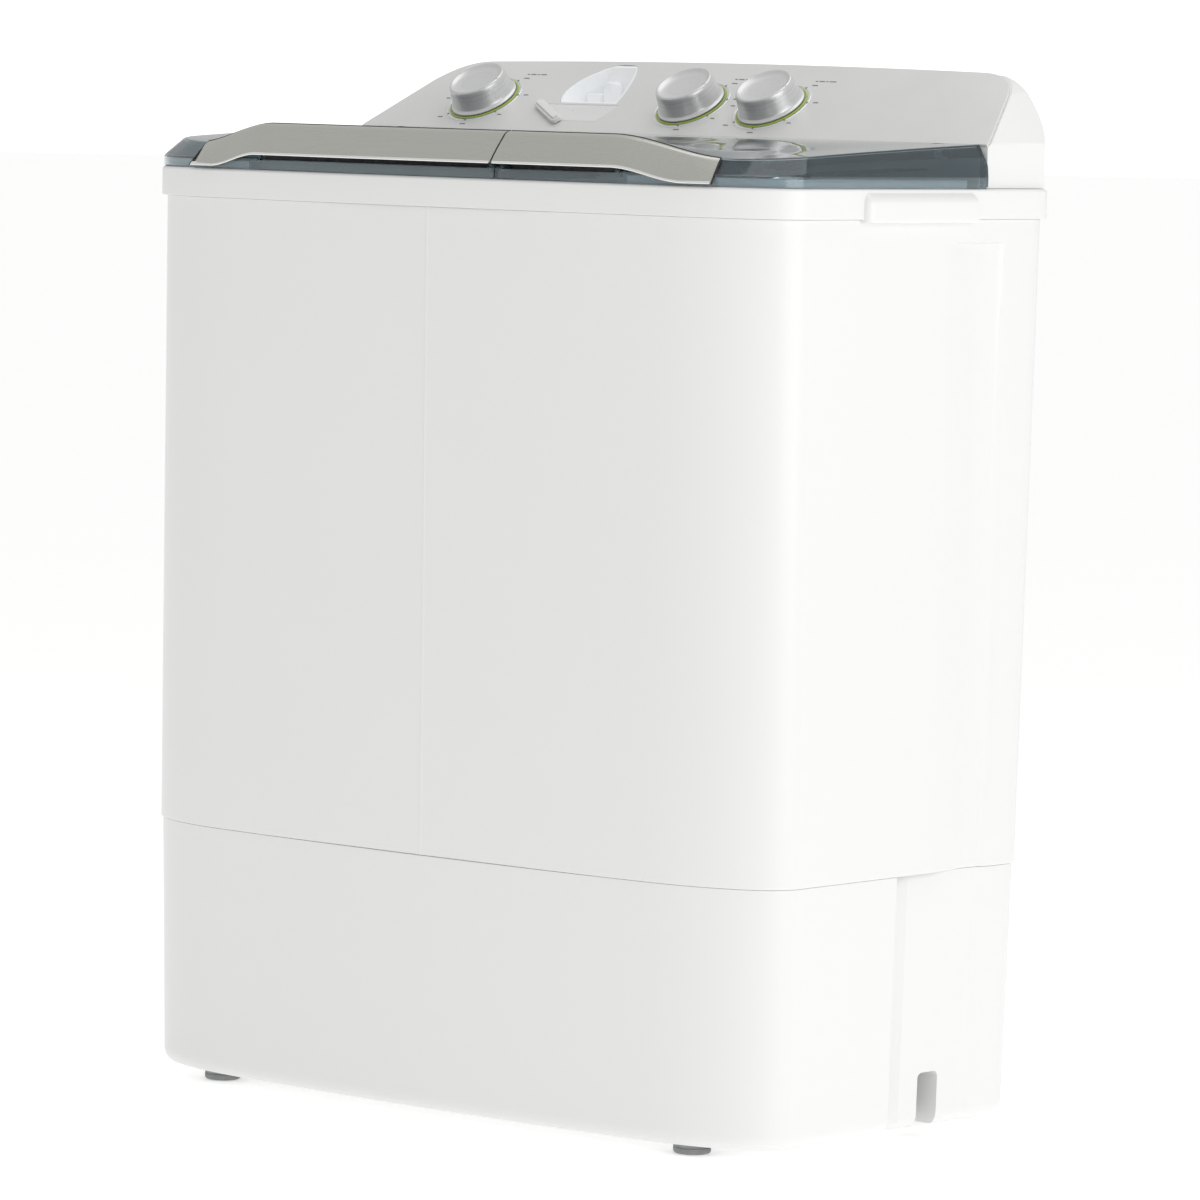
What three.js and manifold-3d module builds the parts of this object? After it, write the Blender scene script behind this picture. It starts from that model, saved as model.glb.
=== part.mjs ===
// A twin tub washing machine: a wash tub with a pulsator on the left, a spin tub on the right,
// two tinted lids and a sloping console behind them. Millimetres, +Z up, front towards -Y,
// X = 0 and Y = 0 at the middle of the cabinet, Z = 0 on the floor.
import * as THREE from "three";
import { mergeVertices } from "three/addons/utils/BufferGeometryUtils.js";
import Module from "manifold-3d";

const wasm = await Module();
wasm.setup();

// ---- Driving dimensions ----
const WIDTH = 800; // over the deck's rim
const DEPTH = 450; // over the deck's rim
const BOW = 22.7; // how far the front bulges between its corners
const CREASE = 0.012; // slope on either side of the faint ridge down the front
const CORNER_X = 130; // front corners are long ovals: this much of the front
const CORNER_Y = 71; // and this much of each side
const REAR_RADIUS = 33;
const WALL = 3.5;
const GAP = 0.3; // between pieces that touch

const FOOT_HEIGHT = 10;
const SEAM_Z = 250; // upper shell meets base
const BAND_Z = 856; // lower edge of the rim band
const RIM_Z = 884; // top of the deck
const LID_Z = 925; // top of the lids
const SPLIT_X = 85; // between the wash lid and the spin lid
const LID_REAR_Y = 114;

const PANEL_ANGLE = THREE.MathUtils.degToRad(33); // slope of the console above horizontal
const PANEL_FOOT_Y = 117;
const PANEL_FOOT_Z = 925;
const PANEL_LENGTH = 128.5; // up the slope at the middle
const PANEL_THICKNESS = 3;
const CONSOLE_REAR_Y = 225;

const WASH = { x: -155, y: -46 }; // axis of the pulsator
const SPIN = { x: 238, y: -46 }; // axis of the spin basket
const KNOBS = { wash_timer: -269, selector: -1, spin_timer: 99 }; // along the panel
const KNOB_S = 53; // up the panel
const KNOB_HEIGHT = 25;

const ARC_STEPS = 6;
const ROUND_HANDLE = 0.5523; // handle length of a quarter arc, as a share of its radius
const ROUND = 16; // sides of a turned piece

// ---- Materials ----
function finish(colour, roughness, metalness = 0, extra = {}) {
  return new THREE.MeshStandardMaterial({ color: colour, roughness, metalness, ...extra });
}
const white = finish(0xf1f1ef, 0.35);
const silver = finish(0xc8c9c5, 0.38, 0.35);
const tinted = finish(0x586973, 0.08, 0, { transparent: true, opacity: 0.55 });
const brushed = finish(0xa6a69e, 0.32, 0.85);
const knobGrey = finish(0xbdbdbd, 0.35, 0.4);
const green = finish(0x9fbf2f, 0.45);
const tubWhite = finish(0xe6eaec, 0.3);
const paleBlue = finish(0xbfd3e0, 0.3);
const steel = finish(0xb4b8ba, 0.3, 0.9);
const enamel = finish(0x33393e, 0.45, 0.2);
const rubber = finish(0x26272a, 0.85);
const greyRubber = finish(0x8f9296, 0.8);
const greyPlastic = finish(0xa9adaf, 0.5);
const zinc = finish(0xa3a8aa, 0.4, 0.8);

const washer = new THREE.Group();

// ---- Making solids ----
// A closed geometry as a solid; a profile may run either way round, so it is turned to face out.
function solid(geometry) {
  const bare = new THREE.BufferGeometry();
  bare.setAttribute("position", geometry.getAttribute("position").clone());
  if (geometry.index) bare.setIndex(geometry.index.clone());
  const merged = mergeVertices(bare, 1e-4);
  const corners = merged.index.array;
  const build = (flip) => {
    const faces = [];
    for (let i = 0; i < corners.length; i += 3) {
      const [a, b, c] = [corners[i], corners[i + 1], corners[i + 2]];
      if (a !== b && b !== c && a !== c) faces.push(a, flip ? c : b, flip ? b : c);
    }
    return new wasm.Manifold(
      new wasm.Mesh({
        numProp: 3,
        vertProperties: new Float32Array(merged.getAttribute("position").array),
        triVerts: new Uint32Array(faces),
      }),
    );
  };
  const made = build(false);
  return made.volume() > 0 ? made : build(true);
}

function join(first, ...others) {
  return others.reduce((whole, piece) => whole.add(piece), first);
}

function cut(first, ...tools) {
  return tools.reduce((whole, tool) => whole.subtract(tool), first);
}

// One sub-part: its solid as a named mesh in the scene graph.
function add(name, piece, material, parent = washer) {
  const data = piece.getMesh();
  const geometry = new THREE.BufferGeometry();
  const position = new Float32Array(data.numVert * 3);
  for (let i = 0; i < data.numVert; i += 1) {
    position.set(data.vertProperties.subarray(i * data.numProp, i * data.numProp + 3), i * 3);
  }
  geometry.setAttribute("position", new THREE.BufferAttribute(position, 3));
  geometry.setIndex(new THREE.BufferAttribute(data.triVerts, 1));
  geometry.computeVertexNormals();
  const mesh = new THREE.Mesh(geometry, material);
  mesh.name = name;
  parent.add(mesh);
  return mesh;
}

function block(x0, x1, y0, y1, z0, z1) {
  const geometry = new THREE.BoxGeometry(x1 - x0, y1 - y0, z1 - z0);
  geometry.translate((x0 + x1) / 2, (y0 + y1) / 2, (z0 + z1) / 2);
  return solid(geometry);
}

// An upright cylinder.
function post(radius, z0, z1, x = 0, y = 0, sides = ROUND) {
  const geometry = new THREE.CylinderGeometry(radius, radius, z1 - z0, sides);
  geometry.rotateX(Math.PI / 2);
  geometry.translate(x, y, (z0 + z1) / 2);
  return solid(geometry);
}

// A cylinder along X.
function rod(radius, x0, x1, y, z, sides = 8) {
  const geometry = new THREE.CylinderGeometry(radius, radius, x1 - x0, sides);
  geometry.rotateZ(Math.PI / 2);
  geometry.translate((x0 + x1) / 2, y, z);
  return solid(geometry);
}

// A piece turned about an upright axis from [radius, z] points.
function turned(profile, x = 0, y = 0, sides = ROUND) {
  const points = profile.map(([radius, z]) => new THREE.Vector2(radius, z));
  const geometry = new THREE.LatheGeometry(points, sides);
  geometry.rotateX(Math.PI / 2);
  geometry.scale(1, -1, 1);
  geometry.translate(x, y, 0);
  return solid(geometry);
}

function prism(outline, z0, z1, steps = ARC_STEPS) {
  const geometry = new THREE.ExtrudeGeometry(outline, {
    depth: z1 - z0,
    bevelEnabled: false,
    curveSegments: steps,
  });
  geometry.translate(0, 0, z0);
  return solid(geometry);
}

// Moves a value so that the span low..high comes in by an inset at each end.
function squeeze(value, low, high, lowInset, highInset) {
  const share = (value - low) / (high - low);
  return low + lowInset + share * (high - low - lowInset - highInset);
}

// An outline carried up through levels, each with its insets and its height, which may vary over it.
function stack(outline, levels, steps = ARC_STEPS) {
  const geometry = new THREE.ExtrudeGeometry(outline, {
    depth: levels.length - 1,
    steps: levels.length - 1,
    bevelEnabled: false,
    curveSegments: steps,
  });
  geometry.computeBoundingBox();
  const { min, max } = geometry.boundingBox;
  const position = geometry.getAttribute("position");
  for (let i = 0; i < position.count; i += 1) {
    const { z, side = 0, front = 0, rear = 0 } = levels[Math.round(position.getZ(i))];
    const x = squeeze(position.getX(i), min.x, max.x, side, side);
    const y = squeeze(position.getY(i), min.y, max.y, front, rear);
    position.setXYZ(i, x, y, typeof z === "function" ? z(x, y) : z);
  }
  return solid(geometry);
}

// ---- Outlines ----
// Carries an outline round an arc in a few straight steps.
function arc(outline, x, y, radius, from, to, steps = 3) {
  for (let i = 0; i <= steps; i += 1) {
    const angle = from + ((to - from) * i) / steps;
    outline.lineTo(x + radius * Math.cos(angle), y + radius * Math.sin(angle));
  }
}

// The cabinet seen from above, everywhere this much inside the rim.
function cabinetOutline(inset, crease = 0) {
  const half = WIDTH / 2 - inset;
  const front = -DEPTH / 2 + inset;
  const rear = DEPTH / 2 - inset;
  const rx = CORNER_X - inset;
  const ry = CORNER_Y - inset;
  const rr = Math.max(REAR_RADIUS - inset, 4);
  const x = half - rx;
  const y = front + BOW * (x / half) ** 2;
  const slope = (2 * BOW * x) / half ** 2;
  const bend = x * (slope - crease) * 0.5;
  const outline = new THREE.Shape();
  outline.moveTo(-x, y);
  outline.bezierCurveTo(-x * 0.66, y - slope * x * 0.34, -x * 0.33, y - bend + crease * x * 0.3, 0, y - bend);
  outline.bezierCurveTo(x * 0.33, y - bend + crease * x * 0.3, x * 0.66, y - slope * x * 0.34, x, y);
  const [endX, endY] = [x + ROUND_HANDLE * rx, y + ROUND_HANDLE * rx * slope];
  const turnY = y + ry * (1 - ROUND_HANDLE);
  outline.bezierCurveTo(endX, endY, half, turnY, half, y + ry);
  arc(outline, half - rr, rear - rr, rr, 0, Math.PI / 2);
  arc(outline, -half + rr, rear - rr, rr, Math.PI / 2, Math.PI);
  outline.lineTo(-half, y + ry);
  outline.bezierCurveTo(-half, turnY, -endX, endY, -x, y);
  return outline;
}

function roundedBox(x0, x1, y0, y1, radius, steps = 3) {
  const outline = new THREE.Shape();
  const quarter = Math.PI / 2;
  outline.moveTo(x0 + radius, y0);
  arc(outline, x1 - radius, y0 + radius, radius, -quarter, 0, steps);
  arc(outline, x1 - radius, y1 - radius, radius, 0, quarter, steps);
  arc(outline, x0 + radius, y1 - radius, radius, quarter, 2 * quarter, steps);
  arc(outline, x0 + radius, y0 + radius, radius, 2 * quarter, 3 * quarter, steps);
  return outline;
}

function circle(radius, x = 0, y = 0) {
  const outline = new THREE.Shape();
  outline.absarc(x, y, radius, 0, 2 * Math.PI);
  return outline;
}

// ---- Cabinet ----
const SHELL_TOP = { side: 4.4, front: 4.4, rear: 4.4 };
const SHELL_FOOT = { side: 4.4, front: 13.2, rear: 17.9 };
const BASE_TOP = { side: 5.9, front: 14.7, rear: 19.4 };
const BASE_FOOT = { side: 10, front: 19, rear: 21.8 };
const BASE_FLOOR_Z = FOOT_HEIGHT + 7;
const RECESS = { y0: 64, y1: 145, depth: 7, topZ: 834 }; // long hollow down the right side
const HOSE_CHANNEL_Y = 11; // the base's hollow starts here, further forward
const HOSE_GROOVE = { width: 15, depth: 6 }; // the hollow is deeper along its front edge
const NOTCH = { y0: 62, y1: 92, topZ: 61, radius: 6, sleeveX: 352, sleeveWall: 3 }; // where the hose leaves

// The hollow's shape from above, `sideX` being the wall's face. It deepens to the rear, or, with
// `grooveY`, starts with a step and a groove that ends there.
function recessOutline(sideX, y0, y1, depth, grooveY) {
  const outline = new THREE.Shape();
  outline.moveTo(sideX + 20, y0);
  if (grooveY === undefined) {
    outline.lineTo(sideX, y0);
  } else {
    outline.lineTo(sideX - depth - HOSE_GROOVE.depth, y0 + 3);
    outline.lineTo(sideX - depth - HOSE_GROOVE.depth, grooveY);
    outline.lineTo(sideX - depth, grooveY + 0.5);
  }
  outline.lineTo(sideX - depth, y1 - 32);
  outline.quadraticCurveTo(sideX - depth + 1, y1 - 4, sideX + 1, y1);
  outline.lineTo(sideX + 20, y1);
  return outline;
}

function baseLevels(extra, z0) {
  const foot = (inset) => ({
    side: BASE_FOOT.side + inset,
    front: BASE_FOOT.front + inset,
    rear: BASE_FOOT.rear + inset,
  });
  return [
    { z: z0, ...foot(extra) },
    { z: z0 + 4, ...foot(extra / 3) },
    { z: z0 + 14, ...foot(0) },
    { z: SEAM_Z - GAP, ...BASE_TOP },
  ];
}

function baseShell() {
  const outer = stack(cabinetOutline(0), baseLevels(8, FOOT_HEIGHT));
  const inner = stack(cabinetOutline(WALL), [
    { z: BASE_FLOOR_Z, ...BASE_FOOT },
    { z: SEAM_Z + 1, ...BASE_TOP },
  ]);
  const channelX = WIDTH / 2 - BASE_FOOT.side;
  const lean = (BASE_FOOT.side - BASE_TOP.side) / (SEAM_Z - FOOT_HEIGHT);
  const shape = (inset) => {
    const y0 = HOSE_CHANNEL_Y - inset;
    const grooveY = HOSE_CHANNEL_Y + HOSE_GROOVE.width + inset;
    const outline = recessOutline(channelX - inset, y0, RECESS.y1 + inset, RECESS.depth, grooveY);
    const options = { depth: SEAM_Z, bevelEnabled: false, curveSegments: 6 };
    const geometry = new THREE.ExtrudeGeometry(outline, options);
    geometry.applyMatrix4(new THREE.Matrix4().set(1, 0, lean, 0, 0, 1, 0, 0, 0, 0, 1, 0, 0, 0, 0, 1));
    geometry.translate(-lean * FOOT_HEIGHT, 0, 0);
    return solid(geometry);
  };
  const tunnel = (grow) => {
    const arch = roundedBox(NOTCH.y0 - grow, NOTCH.y1 + grow, -60, NOTCH.topZ + grow, NOTCH.radius + grow);
    const geometry = new THREE.ExtrudeGeometry(arch, { depth: 60, bevelEnabled: false, curveSegments: 6 });
    geometry.applyMatrix4(new THREE.Matrix4().set(0, 0, 1, 0, 1, 0, 0, 0, 0, 1, 0, 0, 0, 0, 0, 1));
    geometry.translate(NOTCH.sleeveX, 0, 0);
    return solid(geometry);
  };
  const sleeve = cut(tunnel(NOTCH.sleeveWall).intersect(outer), shape(0));
  const window = block(-300, 300, 150, 240, 45, 232);
  const vents = [0, 1, 2, 3, 4].map((i) => block(-300 + 40 * i, -280 + 40 * i, -110, 90, 0, 30));
  const shell = cut(outer, inner.subtract(shape(WALL)), shape(0)).add(sleeve);
  return cut(shell, tunnel(0), window, ...vents);
}
add("base_shell", baseShell(), white);

function cabinetShell() {
  const levels = [
    { z: SEAM_Z, ...SHELL_FOOT },
    { z: BAND_Z - GAP, ...SHELL_TOP },
  ];
  const outer = stack(cabinetOutline(0, CREASE), levels);
  const inner = stack(cabinetOutline(WALL, CREASE), [
    { z: SEAM_Z - 1, ...SHELL_FOOT },
    { z: BAND_Z + 1, ...SHELL_TOP },
  ]);
  const sideX = WIDTH / 2 - SHELL_TOP.side;
  const { y0, y1, depth, topZ } = RECESS;
  const hollow = prism(recessOutline(sideX, y0, y1, depth), SEAM_Z - 1, topZ, 6);
  const behind = recessOutline(sideX - WALL, y0 - WALL, y1 + WALL, depth);
  const backing = prism(behind, SEAM_Z - 2, topZ + WALL, 6);
  return cut(outer, inner.subtract(backing), hollow);
}
add("cabinet_shell", cabinetShell(), white);

const WASH_MOUTH = { x0: -366, x1: 56, y0: -190, y1: 98, radius: 82 };
const SPIN_MOUTH_RADIUS = 131;
const COLLAR_HEIGHT = 9;
const GRIP = { y0: -72, y1: 94, proud: 8, z0: 853, z1: 881 };

// The ledge moulded on each side of the rim for lifting the machine.
function carryGrip(side) {
  const outline = roundedBox(GRIP.y0, GRIP.y1, -10, GRIP.proud, 7);
  const options = { depth: 1, steps: 2, bevelEnabled: false };
  const ledge = new THREE.ExtrudeGeometry(outline, options);
  const position = ledge.getAttribute("position");
  const heights = [GRIP.z0, GRIP.z1 - GRIP.proud, GRIP.z1];
  for (let i = 0; i < position.count; i += 1) {
    const level = Math.round(position.getZ(i) * 2);
    const out = Math.max(position.getY(i), -3);
    const proud = level === 2 ? Math.min(out, -1) : out;
    position.setXYZ(i, side * (WIDTH / 2 + proud), position.getX(i), heights[level]);
  }
  return solid(ledge);
}

function washMouth(inset, z0, z1) {
  const { x0, x1, y0, y1, radius } = WASH_MOUTH;
  return prism(roundedBox(x0 + inset, x1 - inset, y0 + inset, y1 - inset, radius - inset, 5), z0, z1);
}

function topDeck() {
  const outer = stack(cabinetOutline(0), [
    { z: BAND_Z },
    { z: RIM_Z - 2.5 },
    { z: RIM_Z, side: 2.5, front: 2.5, rear: 2.5 },
  ]);
  const under = prism(cabinetOutline(5), BAND_Z - 1, RIM_Z - 4);
  const plate = cut(outer, under);
  const spin = (radius, z0, z1) => post(radius, z0, z1, SPIN.x, SPIN.y, 24);
  const collars = join(
    washMouth(-5, RIM_Z - 2, RIM_Z + COLLAR_HEIGHT),
    spin(SPIN_MOUTH_RADIUS + 5, RIM_Z - 2, RIM_Z + COLLAR_HEIGHT),
  );
  const wiring = block(-300, 200, 150, 195, RIM_Z - 10, RIM_Z + 5);
  return cut(
    join(plate, collars, carryGrip(1), carryGrip(-1)),
    washMouth(0, RIM_Z - 10, RIM_Z + 20),
    spin(SPIN_MOUTH_RADIUS, RIM_Z - 10, RIM_Z + 20),
    wiring,
  );
}
add("top_deck", topDeck(), white);

// ---- Feet and rear cover ----
const FOOT_X = 297;
const FOOT_Y = 160;
for (const [row, y] of [["front", -FOOT_Y], ["rear", FOOT_Y]]) {
  for (const [side, x] of [["left", -FOOT_X], ["right", FOOT_X]]) {
    const top = FOOT_HEIGHT - GAP;
    const foot = turned([[0, 0], [16, 0], [17.5, 1.5], [17.5, top], [0, top]], x, y);
    add(`foot_${row}_${side}`, foot, greyRubber);
  }
}

const REAR_COVER = { x: 315, y: 206.2, z0: 35, z1: 242 };
function rearCover() {
  const { x, y, z0, z1 } = REAR_COVER;
  const plate = block(-x, x, y, y + 1.5, z0, z1);
  const louvres = [];
  for (let i = 0; i < 4; i += 1) louvres.push(block(90, 230, y - 1, y + 3, 95 + 24 * i, 103 + 24 * i));
  return cut(plate, ...louvres, block(-264, -246, y - 1, y + 3, 191, 209));
}
add("rear_cover", rearCover(), zinc);
for (const [i, [x, z]] of [[-305, 45], [305, 45], [-305, 232], [305, 232]].entries()) {
  const screw = turned([[0, 0], [4, 0], [3.4, 1.6], [0, 2.4]], 0, 0, 8);
  const mesh = add(`rear_cover_screw_${i + 1}`, screw, steel);
  mesh.rotation.x = -Math.PI / 2;
  mesh.position.set(x, REAR_COVER.y + 1.5 + GAP, z);
}
const gland = turned([[4, 0], [8, 0], [8, 5], [11, 5], [9, 11], [4, 11], [4, 0]], 0, 0, 12);
const glandMesh = add("cord_inlet_gland", gland, rubber);
glandMesh.rotation.x = -Math.PI / 2;
glandMesh.position.set(-255, REAR_COVER.y - 3.2, 200);

// ---- Console ----
const CONSOLE_INSET = 3; // behind the rim at the rear and the sides
const CONSOLE_HALF = 393;
const SLOPE_FOOT = 3; // the panel's ends stand square this far before they lean in
const SLOPE_TOP = { x: 308, s: 122.5 };
const SLOPE_SIDE = { x: 361, s: 87 };

// The console seen from the front; `up` turns a distance up the panel into the drawn height.
function consoleOutline(inset, footHeight, up) {
  const foot = CONSOLE_HALF - inset;
  const outline = new THREE.Shape();
  const side = SLOPE_SIDE.x - inset;
  const top = SLOPE_TOP.x - inset * 0.4;
  outline.moveTo(-foot, footHeight);
  outline.lineTo(foot, footHeight);
  outline.lineTo(foot, up(SLOPE_FOOT));
  outline.lineTo(side, up(SLOPE_SIDE.s - inset * 0.5));
  outline.bezierCurveTo(
    side - 12,
    up(108 - inset * 0.6),
    top + 28,
    up(SLOPE_TOP.s - 1 - inset),
    top,
    up(SLOPE_TOP.s - inset),
  );
  outline.quadraticCurveTo(0, up(2 * PANEL_LENGTH - SLOPE_TOP.s - inset), -top, up(SLOPE_TOP.s - inset));
  outline.bezierCurveTo(
    -top - 28,
    up(SLOPE_TOP.s - 1 - inset),
    -side + 12,
    up(108 - inset * 0.6),
    -side,
    up(SLOPE_SIDE.s - inset * 0.5),
  );
  outline.lineTo(-foot, up(SLOPE_FOOT));
  outline.lineTo(-foot, footHeight);
  return outline;
}

// A solid drawn in the panel's plane, X along it and Y up the slope, with Z out of its face.
const panelPlace = new THREE.Matrix4()
  .makeTranslation(0, PANEL_FOOT_Y, PANEL_FOOT_Z)
  .multiply(new THREE.Matrix4().makeRotationX(PANEL_ANGLE));
const panel = new THREE.Group();
panel.applyMatrix4(panelPlace);
washer.add(panel);

const HINGE = { y: 108.5, z: 918.5 };
const HINGE_XS = { wash: [-330, 30], spin: [140, 345] };
const EAR = { half: 5, radius: 6 };

function consoleHousing() {
  const upright = (s) => PANEL_FOOT_Z + s * Math.sin(PANEL_ANGLE);
  const along = (inset, y0, y1, footHeight) => {
    const shape = consoleOutline(inset, footHeight, upright);
    const options = { depth: y1 - y0, bevelEnabled: false, curveSegments: 8 };
    const geometry = new THREE.ExtrudeGeometry(shape, options);
    geometry.rotateX(Math.PI / 2);
    geometry.translate(0, y1, 0);
    return solid(geometry);
  };
  const body = along(0, PANEL_FOOT_Y + 2, CONSOLE_REAR_Y, RIM_Z + GAP);
  const plan = prism(cabinetOutline(CONSOLE_INSET), RIM_Z, 1010);
  const above = new THREE.BoxGeometry(900, 400, 200);
  above.translate(0, 100, 100 - PANEL_THICKNESS - GAP);
  above.applyMatrix4(panelPlace);
  const hollow = along(3.5, PANEL_FOOT_Y + 5.5, CONSOLE_REAR_Y, RIM_Z - 10).intersect(
    prism(cabinetOutline(CONSOLE_INSET + 3.5), RIM_Z - 20, 1010),
  );
  const ears = [...HINGE_XS.wash, ...HINGE_XS.spin].map((x) =>
    join(
      rod(EAR.radius, x - EAR.half, x + EAR.half, HINGE.y, HINGE.z, 16),
      block(x - EAR.half, x + EAR.half, HINGE.y, PANEL_FOOT_Y + 3, HINGE.z - 4, HINGE.z + 1),
    ),
  );
  const bores = [...HINGE_XS.wash, ...HINGE_XS.spin].map((x) => rod(2.8, x - 9, x + 9, HINGE.y, HINGE.z));
  return cut(join(cut(body.intersect(plan), solid(above), hollow), ...ears), ...bores);
}
add("console_housing", consoleHousing(), white);

const FUNNEL = { left: -180, right: -96, foot: 51, top: 122 };
// The water inlet's mouth: a leaf shape with a straight foot.
function funnelOutline(inset) {
  const { left, right, foot, top } = FUNNEL;
  const outline = new THREE.Shape();
  outline.moveTo(left + 12 + inset, foot + inset);
  outline.lineTo(right - inset, foot + inset);
  outline.bezierCurveTo(right - 2 - inset, 80, right - 14 - inset, 112, -118, top - 3 - inset);
  outline.bezierCurveTo(-130, top + 1 - inset, -150, top - inset, -160 + inset, top - 14 - inset);
  outline.bezierCurveTo(-174 + inset, 96, left - 4 + inset, 70, left + 12 + inset, foot + inset);
  return outline;
}
const APRON = {
  topLeft: -182, topRight: -90, top: 48,
  footLeft: -148, footRight: -100, foot: 19,
  depth: 1.2,
};
function apronOutline(inset) {
  const outline = new THREE.Shape();
  outline.moveTo(APRON.footLeft + inset, APRON.foot + inset);
  outline.lineTo(APRON.footRight - inset, APRON.foot + inset);
  outline.lineTo(APRON.topRight - inset, APRON.top - inset);
  outline.lineTo(APRON.topLeft + inset, APRON.top - inset);
  outline.lineTo(APRON.footLeft + inset, APRON.foot + inset);
  return outline;
}
const DIVERTER = { x: -149, s: 18, length: 50, angle: 147 };

function controlPanel() {
  const plate = prism(consoleOutline(0.2, 0, (s) => s), -PANEL_THICKNESS, 0, 8);
  const shaftHoles = Object.values(KNOBS).map((x) => post(5.5, -10, 10, x, KNOB_S, 16));
  return cut(
    plate,
    ...shaftHoles,
    prism(funnelOutline(0), -10, 10, 6),
    prism(apronOutline(0), -APRON.depth, 5),
    post(3.5, -10, 10, DIVERTER.x, DIVERTER.s, 12),
  );
}
add("control_panel", controlPanel(), silver, panel);

function inletFunnel() {
  const upright = (y, z) => {
    const region = new THREE.BoxGeometry(120, 140, 100);
    region.translate(-140, y - 70, z + 50);
    region.applyMatrix4(panelPlace.clone().invert());
    return solid(region);
  };
  const cup = prism(funnelOutline(GAP), -120, -0.2, 6).intersect(upright(217, 910));
  const bowl = prism(funnelOutline(2.4), -120, 5, 6).intersect(upright(214.6, 912.5));
  return cut(cup, bowl);
}
add("inlet_funnel", inletFunnel(), paleBlue, panel);

// The lever that steers the water, hinged on the panel below the inlet's mouth.
function inletDiverter() {
  const bar = roundedBox(-5, DIVERTER.length, -4, 4, 3.9);
  const lever = prism(bar, 0.8, 7, 5);
  return join(lever, post(3, -6, 1, 0, 0, 12));
}
const diverter = add("inlet_diverter", inletDiverter(), white, panel);
diverter.position.set(DIVERTER.x, DIVERTER.s, 0);
diverter.rotation.z = THREE.MathUtils.degToRad(DIVERTER.angle);

// A tapered knob with a flared skirt, a dished top and its own spindle.
function knob() {
  const h = KNOB_HEIGHT;
  const body = turned([
    [0, 1.8], [34, 1.8], [34, 3.2], [31.2, 5.6], [29.4, h - 2], [27.6, h], [24, h - 1.6], [0, h - 3],
  ], 0, 0, 20);
  const pointer = block(24, 27.5, -0.8, 0.8, h - 3, h + 0.3);
  return join(body, post(4.2, -19, 3, 0, 0, 12), pointer);
}
const bezel = turned([[34.6, 0.3], [37.4, 0.3], [36.6, 1.5], [34.6, 1.5], [34.6, 0.3]], 0, 0, 20);
for (const [name, x] of Object.entries(KNOBS)) {
  const turn = add(`knob_${name}`, knob(), knobGrey, panel);
  turn.position.set(x, KNOB_S, 0);
  const ring = add(`dial_ring_${name}`, bezel, green, panel);
  ring.position.set(x, KNOB_S, 0);
}

// The timers and the selector's switch hang behind the panel under their knobs.
function clockwork(width, height, depth) {
  const top = -PANEL_THICKNESS - GAP;
  const frame = prism(roundedBox(-width / 2, width / 2, -height / 2, height / 2, 6), top - depth, top, 3);
  return cut(frame, post(5, top - 17, 1, 0, 0, 12));
}
for (const [name, knobName, depth] of [
  ["wash_timer", "wash_timer", 34],
  ["selector_switch", "selector", 24],
  ["spin_timer", "spin_timer", 34],
]) {
  const unit = add(name, clockwork(60, 56, depth), greyPlastic, panel);
  unit.position.set(KNOBS[knobName], KNOB_S, 0);
}

// ---- Lids ----
// Front of the rim at a place along it, and how far back it slopes there.
const RIM_CORNER_X = WIDTH / 2 - CORNER_X;
const RIM_CORNER_Y = -DEPTH / 2 + BOW * (RIM_CORNER_X / (WIDTH / 2)) ** 2;
const RIM_CORNER_SLOPE = (2 * BOW * RIM_CORNER_X) / (WIDTH / 2) ** 2;
const rimCorner = new THREE.CubicBezierCurve(
  new THREE.Vector2(RIM_CORNER_X, RIM_CORNER_Y),
  new THREE.Vector2(
    RIM_CORNER_X + ROUND_HANDLE * CORNER_X,
    RIM_CORNER_Y + ROUND_HANDLE * CORNER_X * RIM_CORNER_SLOPE,
  ),
  new THREE.Vector2(WIDTH / 2, RIM_CORNER_Y + CORNER_Y * (1 - ROUND_HANDLE)),
  new THREE.Vector2(WIDTH / 2, RIM_CORNER_Y + CORNER_Y),
);
function rimFront(x) {
  if (Math.abs(x) <= RIM_CORNER_X) {
    return { y: -DEPTH / 2 + BOW * (x / (WIDTH / 2)) ** 2, slope: (2 * BOW * x) / (WIDTH / 2) ** 2 };
  }
  let [low, high] = [0, 1];
  for (let i = 0; i < 30; i += 1) {
    const middle = (low + high) / 2;
    if (rimCorner.getPoint(middle).x < Math.abs(x)) low = middle;
    else high = middle;
  }
  const tangent = rimCorner.getTangent(low);
  return { y: rimCorner.getPoint(low).y, slope: (Math.sign(x) * tangent.y) / tangent.x };
}

// A strip across the lid's front slope: raised for fingers in the middle, dipping to the lid at its end.
// Lip, shoulder and rear edge, each as [behind the rim's front, height].
const STRIP_RAISED = [[-5.5, 899], [17.5, 928], [24, 928]];
const STRIP_LOW = [[-4.6, 887], [14.5, 907.2], [17.6, 908.9]];
const STRIP_UNDERSIDE = [[2.2, 0], [1.6, -2.4], [0, -2.4]]; // from the outer face to the inner one
const WASH_STRIP = { x0: -312, x1: SPLIT_X - 1, lipDip: [-218, -282], backDip: [-222, -320] };
const SPIN_STRIP = { x0: SPLIT_X + 1, x1: 330, lipDip: [224, 304], backDip: [207, 345] };

function dipAt([start, end], x) {
  return THREE.MathUtils.smoothstep(THREE.MathUtils.clamp((x - start) / (end - start), 0, 1), 0, 1);
}

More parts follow.
